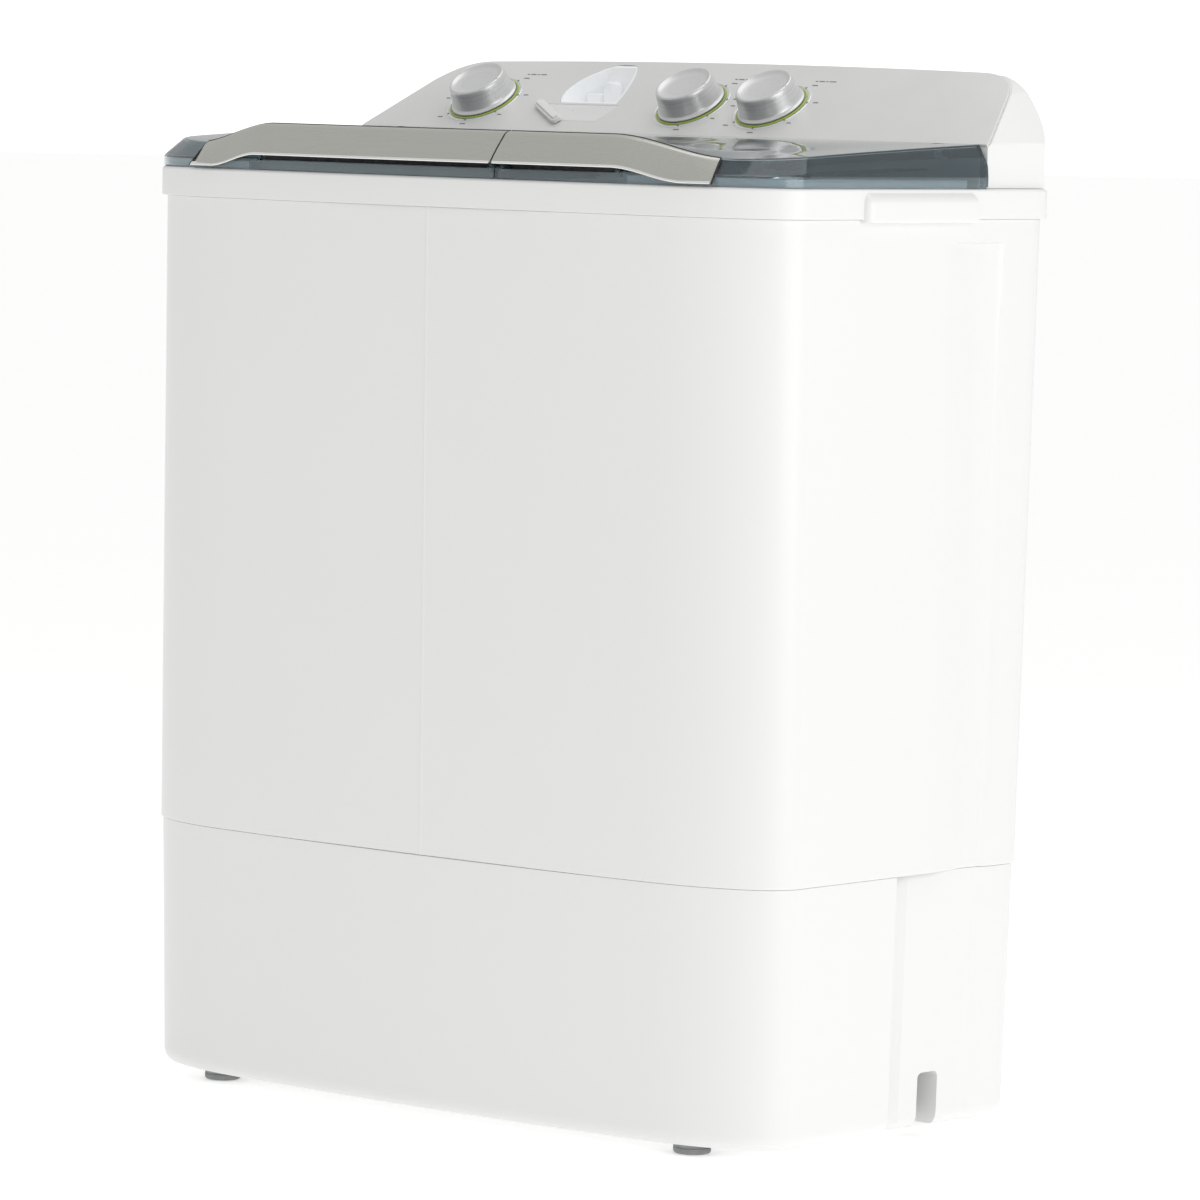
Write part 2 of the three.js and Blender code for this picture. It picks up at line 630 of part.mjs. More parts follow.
function handleStrip({ x0, x1, lipDip, backDip }, grow = 0) {
  const corners = [[0, 1], [1, 1], [2, 1], [2, 0], [1, 0], [0, 0]];
  const section = new THREE.Shape(corners.map(([u, w]) => new THREE.Vector2(u, w)));
  const geometry = new THREE.ExtrudeGeometry(section, { depth: 1, steps: 20, bevelEnabled: false });
  const position = geometry.getAttribute("position");
  for (let i = 0; i < position.count; i += 1) {
    const u = Math.round(position.getX(i));
    const along = THREE.MathUtils.lerp(x0, x1, position.getZ(i));
    const dip = dipAt(u === 0 ? lipDip : backDip, along);
    const [raised, low] = [STRIP_RAISED[u], STRIP_LOW[u]];
    const [outside, height] = [0, 1].map((k) => THREE.MathUtils.lerp(raised[k], low[k], dip));
    const outer = position.getY(i) > 0.5;
    const [inward, down] = outer ? [0, 0] : STRIP_UNDERSIDE[u];
    const back = outside + inward + (outer ? 0 : grow);
    const { y, slope } = rimFront(along);
    const length = Math.hypot(1, slope);
    const z = height + down - (outer ? 0 : grow);
    position.setXYZ(i, along - (back * slope) / length, y + back / length, z);
  }
  return solid(geometry);
}
add("wash_lid_handle", handleStrip(WASH_STRIP), brushed);
add("spin_lid_handle", handleStrip(SPIN_STRIP), brushed);

// The lids' tops are level behind the raised part of a strip and slope down to the front corners.
const LID_INSET = 1.6;
const LID_WALL = 3;
const LID_FRONT_Y = -187;
const LID_CORNER_Z = 908; // top of the lids at the front corners
const SKIRT_Z = 894;
const SHOULDER_Z = [894.6, 905.5]; // where the skirt turns into the slope, at the front and at the rear
const POCKET = { y: -209, z0: 893, z1: 921 };

function rearward(y) {
  return THREE.MathUtils.clamp((y - LID_FRONT_Y) / (LID_REAR_Y - LID_FRONT_Y), 0, 1) ** 0.75;
}

function lidTop(x, y) {
  const dip = dipAt(x < SPLIT_X ? WASH_STRIP.backDip : SPIN_STRIP.backDip, x);
  return THREE.MathUtils.lerp(THREE.MathUtils.lerp(LID_Z, LID_CORNER_Z, dip), LID_Z, rearward(y));
}

// The lids' levels from the rim up, made thinner by `wall` on top.
function lidLevels(wall, footZ) {
  const top = (x, y) => lidTop(x, y) - wall;
  return [
    { z: footZ },
    { z: SKIRT_Z - wall / 2 },
    { z: (x, y) => THREE.MathUtils.lerp(...SHOULDER_Z, rearward(y)) - wall / 2, side: 0.9, front: 1.5 },
    { z: top, side: 12, front: 17.5 },
    { z: top, side: 70, front: 60, rear: 30 },
    { z: top, side: 130, front: 100, rear: 60 },
    { z: top, side: 195, front: 140, rear: 90 },
  ];
}

// The pocket behind the raised part of a strip, where fingers go in from below.
function fingerPocket(strip, wall) {
  const outward = Math.sign(strip.lipDip[0]);
  const inner = SPLIT_X + 9 * outward;
  const [x0, x1] = [inner, strip.lipDip[0]].sort((a, b) => a - b);
  return block(x0 - wall, x1 + wall, -300, POCKET.y + wall, POCKET.z0 - wall, POCKET.z1 + wall);
}

function lid(x0, x1, hinges, strip) {
  const outer = stack(cabinetOutline(LID_INSET), lidLevels(0, RIM_Z + GAP)).intersect(
    block(x0, x1, -300, LID_REAR_Y, RIM_Z - 10, LID_Z + 1),
  );
  const left = x0 < -300 ? x0 : x0 + LID_WALL;
  const right = x1 > 300 ? x1 : x1 - LID_WALL;
  const inner = stack(cabinetOutline(LID_INSET + LID_WALL), lidLevels(LID_WALL, RIM_Z - 5)).intersect(
    block(left, right, -300, LID_REAR_Y - LID_WALL, 0, LID_Z),
  );
  const pocket = fingerPocket(strip, 0);
  const hollow = inner.subtract(fingerPocket(strip, LID_WALL));
  const slots = hinges.map((x) => block(x - 6, x + 6, HINGE.y - 8, LID_REAR_Y + 1, 0, LID_Z + 1));
  const cheeks = hinges.flatMap((x) =>
    [x - 11, x + 6].map((cheek) =>
      block(cheek, cheek + 5, HINGE.y - 5, LID_REAR_Y - 0.5, HINGE.z - 5, LID_Z - 1),
    ),
  );
  const bores = hinges.map((x) => rod(2.8, x - 9.3, x + 9.3, HINGE.y, HINGE.z));
  const relief = block(x0 + 12, x1 - 12, HINGE.y - 3, LID_REAR_Y + 1, 0, HINGE.z - 7);
  const heel = block(x0 - 1, x1 + 1, HINGE.y, LID_REAR_Y + 1, 0, RIM_Z + 1.5);
  const shell = join(cut(outer, hollow, pocket, ...slots, relief, heel), ...cheeks);
  return cut(shell, ...bores, handleStrip(strip, 0.4));
}
add("wash_lid", lid(-400, SPLIT_X - 0.6, HINGE_XS.wash, WASH_STRIP), tinted);
add("spin_lid", lid(SPLIT_X + 0.6, 400, HINGE_XS.spin, SPIN_STRIP), tinted);
for (const [which, xs] of Object.entries(HINGE_XS)) {
  for (const [side, x] of [["left", xs[0]], ["right", xs[1]]]) {
    add(`${which}_lid_hinge_pin_${side}`, rod(2.5, x - 9, x + 9, HINGE.y, HINGE.z), steel);
  }
}

// ---- Wash side ----
const TUB_FLOOR_Z = 430;
const TUB_TOP_Z = RIM_Z - 4 - GAP;
const TUB_WALL = 3;
const VALVE = { x: 5, y: 52 }; // the drain, in the tub's rear right corner

function washTub() {
  const { x0, x1, y0, y1, radius } = WASH_MOUTH;
  const tub = (inset, lift) =>
    stack(
      roundedBox(x0 - 4 + inset, x1 + 4 - inset, y0 - 4 + inset, y1 + 4 - inset, radius + 4 - inset, 5),
      [
        { z: TUB_FLOOR_Z + lift, side: 30, front: 22, rear: 22 },
        { z: TUB_FLOOR_Z + 20 + lift, side: 15, front: 10, rear: 10 },
        { z: TUB_TOP_Z + (lift ? 1 : 0) },
      ],
      ARC_STEPS,
    );
  const drain = post(15, TUB_FLOOR_Z - 5, TUB_FLOOR_Z + 20, VALVE.x, VALVE.y, 20);
  const bore = post(14, TUB_FLOOR_Z - 5, TUB_FLOOR_Z + 20, WASH.x, WASH.y, 20);
  return cut(tub(0, 0), tub(TUB_WALL, TUB_WALL), drain, bore);
}
add("wash_tub", washTub(), tubWhite);

const PULSATOR_RADIUS = 116;
function pulsator() {
  const z = TUB_FLOOR_Z + TUB_WALL + 3;
  const disc = turned([
    [0, z], [PULSATOR_RADIUS, z], [PULSATOR_RADIUS, z + 4], [PULSATOR_RADIUS - 6, z + 8],
    [60, z + 9], [34, z + 16], [26, z + 26], [0, z + 30],
  ], WASH.x, WASH.y, 20);
  const fins = [0, 1, 2, 3].map((i) => {
    const outline = roundedBox(20, PULSATOR_RADIUS - 8, -5, 5, 4.9);
    const fin = new THREE.ExtrudeGeometry(outline, { depth: 20, bevelEnabled: false, curveSegments: 4 });
    fin.rotateZ((i * Math.PI) / 2);
    fin.translate(WASH.x, WASH.y, z + 2);
    return solid(fin);
  });
  return join(disc, ...fins);
}
add("pulsator", pulsator(), paleBlue);

const PULLEY = { z0: 298, z1: 316, big: 88, small: 29 };
const WASH_MOTOR = { x: -285, y: 92 };
function pulley(radius, shaftRadius, shaftTop, x, y) {
  const { z0, z1 } = PULLEY;
  const flange = radius + 7;
  return turned([
    [0, z0], [flange, z0], [flange, z0 + 3], [radius, z0 + 3.4], [radius, z1 - 3.4], [flange, z1 - 3],
    [flange, z1], [shaftRadius, z1], [shaftRadius, shaftTop], [0, shaftTop],
  ], x, y);
}
const driven = cut(
  pulley(PULLEY.big, 8, TUB_FLOOR_Z + 5.5, WASH.x, WASH.y),
  ...[0, 1, 2, 3].map((i) => {
    const angle = ((i + 0.5) * Math.PI) / 2;
    return post(20, 290, 330, WASH.x + 48 * Math.cos(angle), WASH.y + 48 * Math.sin(angle), 8);
  }),
);
add("driven_pulley", driven, greyPlastic);

const sleeve = turned([
  [8.6, 322], [18, 322], [20, 330], [20, 404], [34, 410], [34, 416], [13, 416],
  [13, 432], [8.6, 432], [8.6, 322],
], WASH.x, WASH.y, 12);
add("pulsator_bearing_sleeve", sleeve, zinc);

const driveFrame = cut(
  prism(roundedBox(-352, -60, -120, 158, 20), 417, 422, 4),
  post(14, 400, 440, WASH.x, WASH.y, 24),
);
add("wash_drive_frame", driveFrame, zinc);

const motorBody = (z0, z1, radius) => [
  [10, z0], [radius - 14, z0], [radius - 4, z0 + 8], [radius, z0 + 22], [radius, z1 - 22],
  [radius - 4, z1 - 8], [radius - 14, z1], [10, z1], [10, z0],
];
add("wash_motor", turned(motorBody(326, 416, 60), WASH_MOTOR.x, WASH_MOTOR.y), enamel);
add("motor_pulley", pulley(PULLEY.small, 9, 410, WASH_MOTOR.x, WASH_MOTOR.y), zinc);

// The belt: a loop round the two pulleys, drawn with the driven pulley at the origin.
function beltOutline(inner) {
  const distance = Math.hypot(WASH_MOTOR.x - WASH.x, WASH_MOTOR.y - WASH.y);
  const big = PULLEY.big + inner;
  const small = PULLEY.small + inner;
  const lean = Math.acos((big - small) / distance);
  const loop = new THREE.Shape();
  loop.absarc(0, 0, big, lean, 2 * Math.PI - lean);
  loop.absarc(distance, 0, small, -lean, lean);
  return loop;
}
function driveBelt() {
  const loop = beltOutline(5.4);
  const angle = Math.atan2(WASH_MOTOR.y - WASH.y, WASH_MOTOR.x - WASH.x);
  const ring = cut(prism(loop, 303, 311, 10), prism(beltOutline(0.4), 300, 315, 10));
  return ring.rotate([0, 0, THREE.MathUtils.radToDeg(angle)]).translate([WASH.x, WASH.y, 0]);
}
add("drive_belt", driveBelt(), rubber);

const valveBody = cut(
  join(
    turned([
      [0, 390], [20, 390], [22, 398], [22, TUB_FLOOR_Z - GAP], [0, TUB_FLOOR_Z - GAP],
    ], VALVE.x, VALVE.y, 12),
    post(13, 376, 391, VALVE.x, VALVE.y, 12),
  ),
  post(18.5, 396, 440, VALVE.x, VALVE.y, 12),
  post(9, 370, 400, VALVE.x, VALVE.y, 12),
);
add("drain_valve_body", valveBody, greyPlastic);
const plug = turned([
  [0, 396.4], [13, 396.4], [15, 399], [13, 405], [3, 408], [3, 414], [0, 414],
], VALVE.x, VALVE.y, 10);
add("drain_valve_plug", plug, rubber);

const drainRoute = new THREE.CatmullRomCurve3(
  [
    [VALVE.x, VALVE.y, 375.5], [VALVE.x, VALVE.y + 1, 330], [12, 80, 230], [60, 118, 110], [170, 130, 62],
    [290, 105, 46], [322, 86, 43], [345, 78, 42],
  ].map(([x, y, z]) => new THREE.Vector3(x, y, z)),
);
function drainPipe() {
  const pipe = circle(12);
  pipe.holes.push(circle(9.5));
  const options = { steps: 12, bevelEnabled: false, extrudePath: drainRoute, curveSegments: 4 };
  return solid(new THREE.ExtrudeGeometry(pipe, options));
}
add("drain_pipe", drainPipe(), greyPlastic);

// The slotted cover over the overflow and the lint pocket, on the wash tub's right wall.
function overflowCover() {
  const cover = prism(roundedBox(-34, 34, 470, 800, 10), 0, 5, 4);
  const slots = [];
  for (let i = 0; i < 8; i += 1) slots.push(block(-22, 22, 500 + 30 * i, 508 + 30 * i, -1, 6));
  return cut(cover, ...slots);
}
const overflow = add("overflow_cover", overflowCover(), paleBlue);
overflow.rotation.set(Math.PI / 2, 0, 0);
overflow.position.set(-155, 86, 0);

// ---- Spin side ----
const SPIN_TUB = { radius: 139, z0: 470 };
function spinTub() {
  const { radius, z0 } = SPIN_TUB;
  return turned([
    [26, z0], [radius - 12, z0], [radius - 3, z0 + 8], [radius, TUB_TOP_Z - 4],
    [radius + 6, TUB_TOP_Z - 4], [radius + 6, TUB_TOP_Z], [radius - 4, TUB_TOP_Z],
    [radius - 7, z0 + 11], [radius - 14, z0 + 4], [26, z0 + 4], [26, z0],
  ], SPIN.x, SPIN.y, 20);
}
add("spin_outer_tub", spinTub(), tubWhite);

const BASKET = { radius: 119, z0: 500, z1: 866 };
function spinBasket() {
  const { radius, z0, z1 } = BASKET;
  const shell = turned([
    [0, z0], [30, z0], [34, z0 + 6], [radius - 12, z0 + 6], [radius - 4, z0 + 14], [radius, z1 - 14],
    [radius + 3, z1 - 10], [radius + 3, z1], [radius - 12, z1], [radius - 12, z1 - 3], [radius - 2.5, z1 - 8],
    [radius - 6.5, z0 + 15], [radius - 13, z0 + 9], [40, z0 + 9], [30, z0 + 26], [0, z0 + 26],
  ], SPIN.x, SPIN.y, 20);
  const holes = [];
  for (let row = 0; row < 2; row += 1) {
    for (let i = 0; i < 6; i += 1) {
      const hole = new THREE.CylinderGeometry(6, 6, 30, 6);
      hole.rotateZ(Math.PI / 2);
      hole.translate(radius, 0, 0);
      hole.rotateZ(((i + row / 2) * Math.PI) / 3);
      hole.translate(SPIN.x, SPIN.y, z0 + 110 + 130 * row);
      holes.push(solid(hole));
    }
  }
  return cut(shell, ...holes);
}
add("spin_basket", spinBasket(), paleBlue);
const press = turned([[0, 530], [97, 530], [97, 534], [12, 540], [0, 540]], SPIN.x, SPIN.y, 18);
const pressHoles = [0, 1, 2, 3, 4, 5].map((i) =>
  post(12, 520, 550, SPIN.x + 62 * Math.cos((i * Math.PI) / 3), SPIN.y + 62 * Math.sin((i * Math.PI) / 3), 6),
);
add("basket_press_plate", cut(press, ...pressHoles), paleBlue);

const seal = turned([
  [9.5, 462], [16, 462], [18, 468], [25.4, 468], [25.4, 478], [20, 484], [12, 490], [9.5, 490], [9.5, 462],
], SPIN.x, SPIN.y, 12);
add("spin_shaft_seal", seal, rubber);
const spinShaft = turned([
  [0, 224], [7, 224], [7, 300], [9, 304], [9, BASKET.z0 - GAP], [0, BASKET.z0 - GAP],
], SPIN.x, SPIN.y);
add("spin_shaft", spinShaft, steel);
const drum = turned([
  [7.3, 262], [20, 262], [20, 272], [46, 272], [46, 262], [50, 262], [50, 288], [7.3, 288], [7.3, 262],
], SPIN.x, SPIN.y, 16);
add("brake_drum", drum, zinc);

function brakeLever() {
  const arm = block(SPIN.x + 53.5, SPIN.x + 60, SPIN.y - 30, SPIN.y + 62, 268, 280);
  const boss = post(8, 264, 284, SPIN.x + 57, SPIN.y + 62, 16);
  return cut(join(arm, boss), post(3.3, 260, 290, SPIN.x + 57, SPIN.y + 62, 12));
}
add("brake_lever", brakeLever(), zinc);

const SPIN_MOTOR = { z0: 108, z1: 223, radius: 66 };
const brakePost = post(3, 229.3, 285, SPIN.x + 57, SPIN.y + 62, 12);
const brakePlate = block(SPIN.x + 20, SPIN.x + 66, SPIN.y + 30, SPIN.y + 72, 226, 230);
add("brake_bracket", join(brakePlate, brakePost), zinc);
const flange = turned([[11, 112], [88, 112], [88, 116], [11, 116], [11, 112]], SPIN.x, SPIN.y, 24);
const { z0: motorFoot, z1: motorTop, radius: motorRadius } = SPIN_MOTOR;
const spinMotorBody = turned(motorBody(motorFoot, motorTop, motorRadius), SPIN.x, SPIN.y);
add("spin_motor", join(spinMotorBody, flange), enamel);
for (let i = 0; i < 3; i += 1) {
  const angle = (i * 2 * Math.PI) / 3 + Math.PI / 6;
  const z0 = BASE_FLOOR_Z + GAP;
  const mount = turned([
    [0, z0], [20, z0], [20, z0 + 8], [13, z0 + 20], [13, 92], [18, 104], [18, 112 - GAP], [0, 112 - GAP],
  ], SPIN.x + 76 * Math.cos(angle), SPIN.y + 76 * Math.sin(angle), 16);
  add(`spin_motor_mount_${i + 1}`, mount, rubber);
}

const capacitor = turned([[0, 0], [20, 0], [20, 68], [17, 71], [0, 71]], 40, -110);
add("motor_capacitor", capacitor.translate([0, 0, BASE_FLOOR_Z + GAP]), greyPlastic);

export default washer;
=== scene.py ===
import math

import bmesh
import bpy
from mathutils import Matrix, Vector


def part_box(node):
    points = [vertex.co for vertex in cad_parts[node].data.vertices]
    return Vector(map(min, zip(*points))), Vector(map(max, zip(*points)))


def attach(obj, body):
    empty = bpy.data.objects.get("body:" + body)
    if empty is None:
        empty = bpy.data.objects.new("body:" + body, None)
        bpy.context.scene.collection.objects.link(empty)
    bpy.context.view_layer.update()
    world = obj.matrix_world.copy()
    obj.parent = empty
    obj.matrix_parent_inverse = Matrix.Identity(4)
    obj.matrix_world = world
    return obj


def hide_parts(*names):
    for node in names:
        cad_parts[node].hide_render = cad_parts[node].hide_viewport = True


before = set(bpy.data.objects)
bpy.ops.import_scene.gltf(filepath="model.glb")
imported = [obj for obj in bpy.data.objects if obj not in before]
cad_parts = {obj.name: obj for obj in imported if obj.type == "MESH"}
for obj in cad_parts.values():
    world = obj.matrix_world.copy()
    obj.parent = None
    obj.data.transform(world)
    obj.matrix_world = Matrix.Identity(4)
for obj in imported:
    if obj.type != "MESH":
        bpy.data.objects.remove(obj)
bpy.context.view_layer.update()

# A twin tub washer: smooth moulded shells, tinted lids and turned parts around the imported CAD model.
# Lengths in this script are in millimetres, in the model's frame, and become metres in new_object.
MM = 0.001
scene = bpy.context.scene

# ---------------------------------------------------------------- dimensions shared by several pieces
# The rim from above: its size, its front's bow, its front and rear corners, and the crease at mid-front.
WIDTH, DEPTH, BOW = 800.0, 450.0, 22.7
CORNER_X, CORNER_Y, REAR_RADIUS = 130.0, 71.0, 33.0
CREASE = 0.012
WALL = 3.5
GAP = 0.3  # between pieces that lie on each other
QUARTER = 0.5523  # how far the handles of a cubic curve reach along a quarter turn


def box_mm(node):
    """A CAD node's lowest and highest corners in millimetres."""
    low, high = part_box(node)
    return low / MM, high / MM


def middle(node):
    """The middle of a CAD node's box in millimetres."""
    return tuple((a + b) / 2 for a, b in zip(*box_mm(node)))


def heights_of(node):
    """A CAD node's lowest and highest z in millimetres."""
    return [corner.z for corner in box_mm(node)]


SEAM_Z, BAND_Z = heights_of("cabinet_shell")[0], heights_of("cabinet_shell")[1] + GAP
RIM_Z, LID_Z = heights_of("wash_lid")[0] - GAP, heights_of("wash_lid")[1]
LID_REAR_Y = box_mm("wash_lid")[1].y
FOOT_HEIGHT = heights_of("base_shell")[0]
SPLIT_X = box_mm("wash_lid_handle")[1].x + 1.0
PANEL_ANGLE = math.radians(33)
PANEL_FOOT = Vector((0, 117, 925))
PANEL_LENGTH = 128.5
PANEL = Matrix.Translation(PANEL_FOOT) @ Matrix.Rotation(PANEL_ANGLE, 4, "X")
KNOB_S = 53.0  # up the panel from its foot
KNOB_X = {name: middle(f"knob_{name}")[0] for name in ("wash_timer", "selector", "spin_timer")}
WASH, SPIN = Vector(middle("pulsator")[:2]), Vector(middle("spin_shaft")[:2])
HINGE_Y, HINGE_Z = 108.5, 918.5
HINGES = {"wash_lid": (-330, 30), "spin_lid": (140, 345)}


# ---------------------------------------------------------------- mesh making
def new_object(name, verts, faces, place=None):
    """A closed mesh from millimetre points, its faces turned to point outwards."""
    mesh = bpy.data.meshes.new(name)
    mesh.from_pydata([tuple(Vector(v) * MM) for v in verts], [], faces)
    bm = bmesh.new()
    bm.from_mesh(mesh)
    bmesh.ops.remove_doubles(bm, verts=bm.verts, dist=1e-6)
    bmesh.ops.recalc_face_normals(bm, faces=bm.faces)
    bm.to_mesh(mesh)
    bm.free()
    obj = bpy.data.objects.new(name, mesh)
    scene.collection.objects.link(obj)
    if place is not None:
        obj.matrix_world = Matrix.Translation(place.translation * MM) @ place.to_3x3().to_4x4()
    return obj


def loft(name, rings, ring_of_rings=False, place=None):
    """Joins rings of equal length and closes the ends; ring_of_rings joins the last to the first instead."""
    count = len(rings[0])
    verts = [point for ring in rings for point in ring]
    faces = []
    for k in range(len(rings) if ring_of_rings else len(rings) - 1):
        a, b = k * count, ((k + 1) % len(rings)) * count
        for i in range(count):
            j = (i + 1) % count
            faces.append((a + i, a + j, b + j, b + i))
    if not ring_of_rings:
        faces.append(tuple(reversed(range(count))))
        faces.append(tuple(range(len(verts) - count, len(verts))))
    return new_object(name, verts, faces, place)


def prism(name, outline, z0, z1, place=None):
    return loft(name, [[(x, y, z) for x, y in outline] for z in (z0, z1)], place=place)


def across(name, outline, x0, x1):
    """A bar along the machine's width, with its outline seen from the side."""
    return loft(name, [[(x, y, z) for y, z in outline] for x in (x0, x1)])


def block(name, x0, x1, y0, y1, z0, z1, place=None):
    return prism(name, [(x0, y0), (x1, y0), (x1, y1), (x0, y1)], z0, z1, place)


def lathe(name, profile, x=0.0, y=0.0, steps=96, place=None):
    """Turns (radius, z) points about an upright axis."""
    verts, rings = [], []
    for radius, z in profile:
        if radius < 1e-6:
            rings.append([len(verts)])
            verts.append((x, y, z))
            continue
        rings.append(list(range(len(verts), len(verts) + steps)))
        for i in range(steps):
            angle = 2 * math.pi * i / steps
            verts.append((x + radius * math.cos(angle), y + radius * math.sin(angle), z))
    faces = []
    for a, b in zip(rings, rings[1:]):
        for i in range(steps):
            j = (i + 1) % steps
            corners = [a[i % len(a)], a[j % len(a)], b[j % len(b)], b[i % len(b)]]
            unique = list(dict.fromkeys(corners))
            if len(unique) > 2:
                faces.append(tuple(unique))
    return new_object(name, verts, faces, place)


def raised_by(height, profile):
    """A (radius, z) profile, lifted."""
    return [(radius, height + z) for radius, z in profile]


def settled(obj):
    """The object with its placing moved into its mesh."""
    bpy.context.view_layer.update()
    obj.data.transform(obj.matrix_world)
    obj.matrix_world = Matrix.Identity(4)
    return obj


def bake_modifiers(obj):
    """The object's mesh with its modifiers applied."""
    bpy.context.view_layer.update()
    graph = bpy.context.evaluated_depsgraph_get()
    made = bpy.data.meshes.new_from_object(obj.evaluated_get(graph))
    obj.modifiers.clear()
    obj.data = made
    return obj


def boolean(obj, tools, operation="DIFFERENCE"):
    for tool in tools:
        step = obj.modifiers.new("boolean", "BOOLEAN")
        step.object = tool
        step.operation = operation
        step.solver = "EXACT"
        bake_modifiers(obj)
        bpy.data.objects.remove(tool)
    return obj


def bevel(obj, width, segments=3, angle=35, bake=True):
    step = obj.modifiers.new("bevel", "BEVEL")
    step.width = width * MM
    step.segments = segments
    step.limit_method = "ANGLE"
    step.angle_limit = math.radians(angle)
    step.miter_outer = "MITER_ARC"
    step.use_clamp_overlap = True
    return bake_modifiers(obj) if bake else obj


def join(name, objects):
    """Several closed meshes as one object."""
    bm = bmesh.new()
    for part in objects:
        start = len(bm.verts)
        bm.from_mesh(part.data)
        bm.verts.ensure_lookup_table()
        for vert in bm.verts[start:]:
            vert.co = part.matrix_world @ vert.co
        bpy.data.objects.remove(part)
    mesh = bpy.data.meshes.new(name)
    bm.to_mesh(mesh)
    bm.free()
    obj = bpy.data.objects.new(name, mesh)
    scene.collection.objects.link(obj)
    return obj


def piece(obj, body, material, slot, *nodes, angle=32):
    """Finishes a visible piece: its shading, material and body, and the nodes it stands for, which it hides;
    slot is not used.
    """
    mesh = obj.data
    mesh.polygons.foreach_set("use_smooth", [True] * len(mesh.polygons))
    mesh.set_sharp_from_angle(angle=math.radians(angle))
    shading = obj.modifiers.new("shading", "WEIGHTED_NORMAL")
    shading.keep_sharp = True
    mesh.materials.clear()
    mesh.materials.append(material)
    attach(obj, body)
    if nodes:
        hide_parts(*nodes)
    return obj


# ---------------------------------------------------------------- outlines
def bezier_at(p0, p1, p2, p3, t):
    a, b, c, d = (1 - t) ** 3, 3 * t * (1 - t) ** 2, 3 * t * t * (1 - t), t**3
    return tuple(a * q0 + b * q1 + c * q2 + d * q3 for q0, q1, q2, q3 in zip(p0, p1, p2, p3))


def bezier(p0, p1, p2, p3, steps):
    """Points along a cubic curve after its first one."""
    return [bezier_at(p0, p1, p2, p3, i / steps) for i in range(1, steps + 1)]


def arc(x, y, radius, start, end, steps=8):
    angles = [start + (end - start) * i / steps for i in range(steps + 1)]
    return [(x + radius * math.cos(angle), y + radius * math.sin(angle)) for angle in angles]


def circle(radius, x=0.0, y=0.0, steps=72):
    angles = [2 * math.pi * i / steps for i in range(steps)]
    return [(x + radius * math.cos(angle), y + radius * math.sin(angle)) for angle in angles]


def rounded(x0, x1, y0, y1, radius, steps=8):
    quarter = math.pi / 2
    return (
        arc(x1 - radius, y0 + radius, radius, -quarter, 0, steps)
        + arc(x1 - radius, y1 - radius, radius, 0, quarter, steps)
        + arc(x0 + radius, y1 - radius, radius, quarter, 2 * quarter, steps)
        + arc(x0 + radius, y0 + radius, radius, 2 * quarter, 3 * quarter, steps)
    )


# Places along the sides, closer together where the hollow down the right side starts, steps and ends.
SIDE_YS = [-120, -80, -40, 0, 7.5, 9.7, 11, 12, 13.2, 16, 24, 26, 26.6, 29.5, 30.1, 40, 56, 64, 72, 84, 96]
SIDE_YS += [106, 113, 119, 125, 130, 134, 137.5, 140.5, 142.5, 144, 145.5, 148, 156, 170]
# Across the fine vertical ridge at the middle of the front: how far from it, and how proud.
RIDGE = [(-2.4, 0.0), (-1.5, 0.1), (-0.8, 0.42), (0, 0.55), (0.8, 0.42), (1.5, 0.1), (2.4, 0.0)]


def cabinet(inset, crease=0.0):
    """The cabinet seen from above, everywhere this much inside the rim."""
    half = WIDTH / 2 - inset
    front, rear = -DEPTH / 2 + inset, DEPTH / 2 - inset
    rx, ry = CORNER_X - inset, CORNER_Y - inset
    rr = max(REAR_RADIUS - inset, 4)
    x = half - rx
    y = front + BOW * (x / half) ** 2
    slope = 2 * BOW * x / half**2
    bend = x * (slope - crease) * 0.5
    points = [(-x, y)]
    near = y - bend + crease * x * 0.3
    points += bezier((-x, y), (-x * 0.66, y - slope * x * 0.34), (-x * 0.33, near), (0, y - bend), 26)
    if crease:
        points.pop()
        points += [(across, y - bend - proud) for across, proud in RIDGE]
    points += bezier((0, y - bend), (x * 0.33, near), (x * 0.66, y - slope * x * 0.34), (x, y), 26)
    corner = ((x + QUARTER * rx, y + QUARTER * rx * slope), (half, y + ry * (1 - QUARTER)), (half, y + ry))
    points += bezier((x, y), *corner, 24)
    points += [(half, side) for side in SIDE_YS]
    points += arc(half - rr, rear - rr, rr, 0, math.pi / 2)
    points += [(half * share, rear) for share in (0.6, 0.3, 0, -0.3, -0.6)]
    points += arc(-half + rr, rear - rr, rr, math.pi / 2, math.pi)
    points += [(-half, side) for side in reversed(SIDE_YS)]
    points += [(-px, py) for px, py in reversed(bezier((x, y), *corner, 24))]
    return points


def squeeze(value, low, high, low_inset, high_inset):
    share = (value - low) / (high - low)
    return low + low_inset + share * (high - low - low_inset - high_inset)


def level(outline, z, side=0.0, front=0.0, rear=0.0):
    """The outline brought in at the sides, front and rear, at a height that may be a function of x and y."""
    x0, x1 = min(p[0] for p in outline), max(p[0] for p in outline)
    y0, y1 = min(p[1] for p in outline), max(p[1] for p in outline)
    flat = [(squeeze(x, x0, x1, side, side), squeeze(y, y0, y1, front, rear)) for x, y in outline]
    return [(x, y, z(x, y) if callable(z) else z) for x, y in flat]


def between(first, second, share):
    """A ring part of the way from one ring to another."""
    return [tuple(a + (b - a) * share for a, b in zip(p, q)) for p, q in zip(first, second)]


def softened(before, corner, after, steps=5):
    """Rings that round off the corner ring between two others."""
    rings = []
    for i in range(steps + 1):
        t = i / steps
        rings.append(between(between(before, corner, t), between(corner, after, t), t))
    return rings


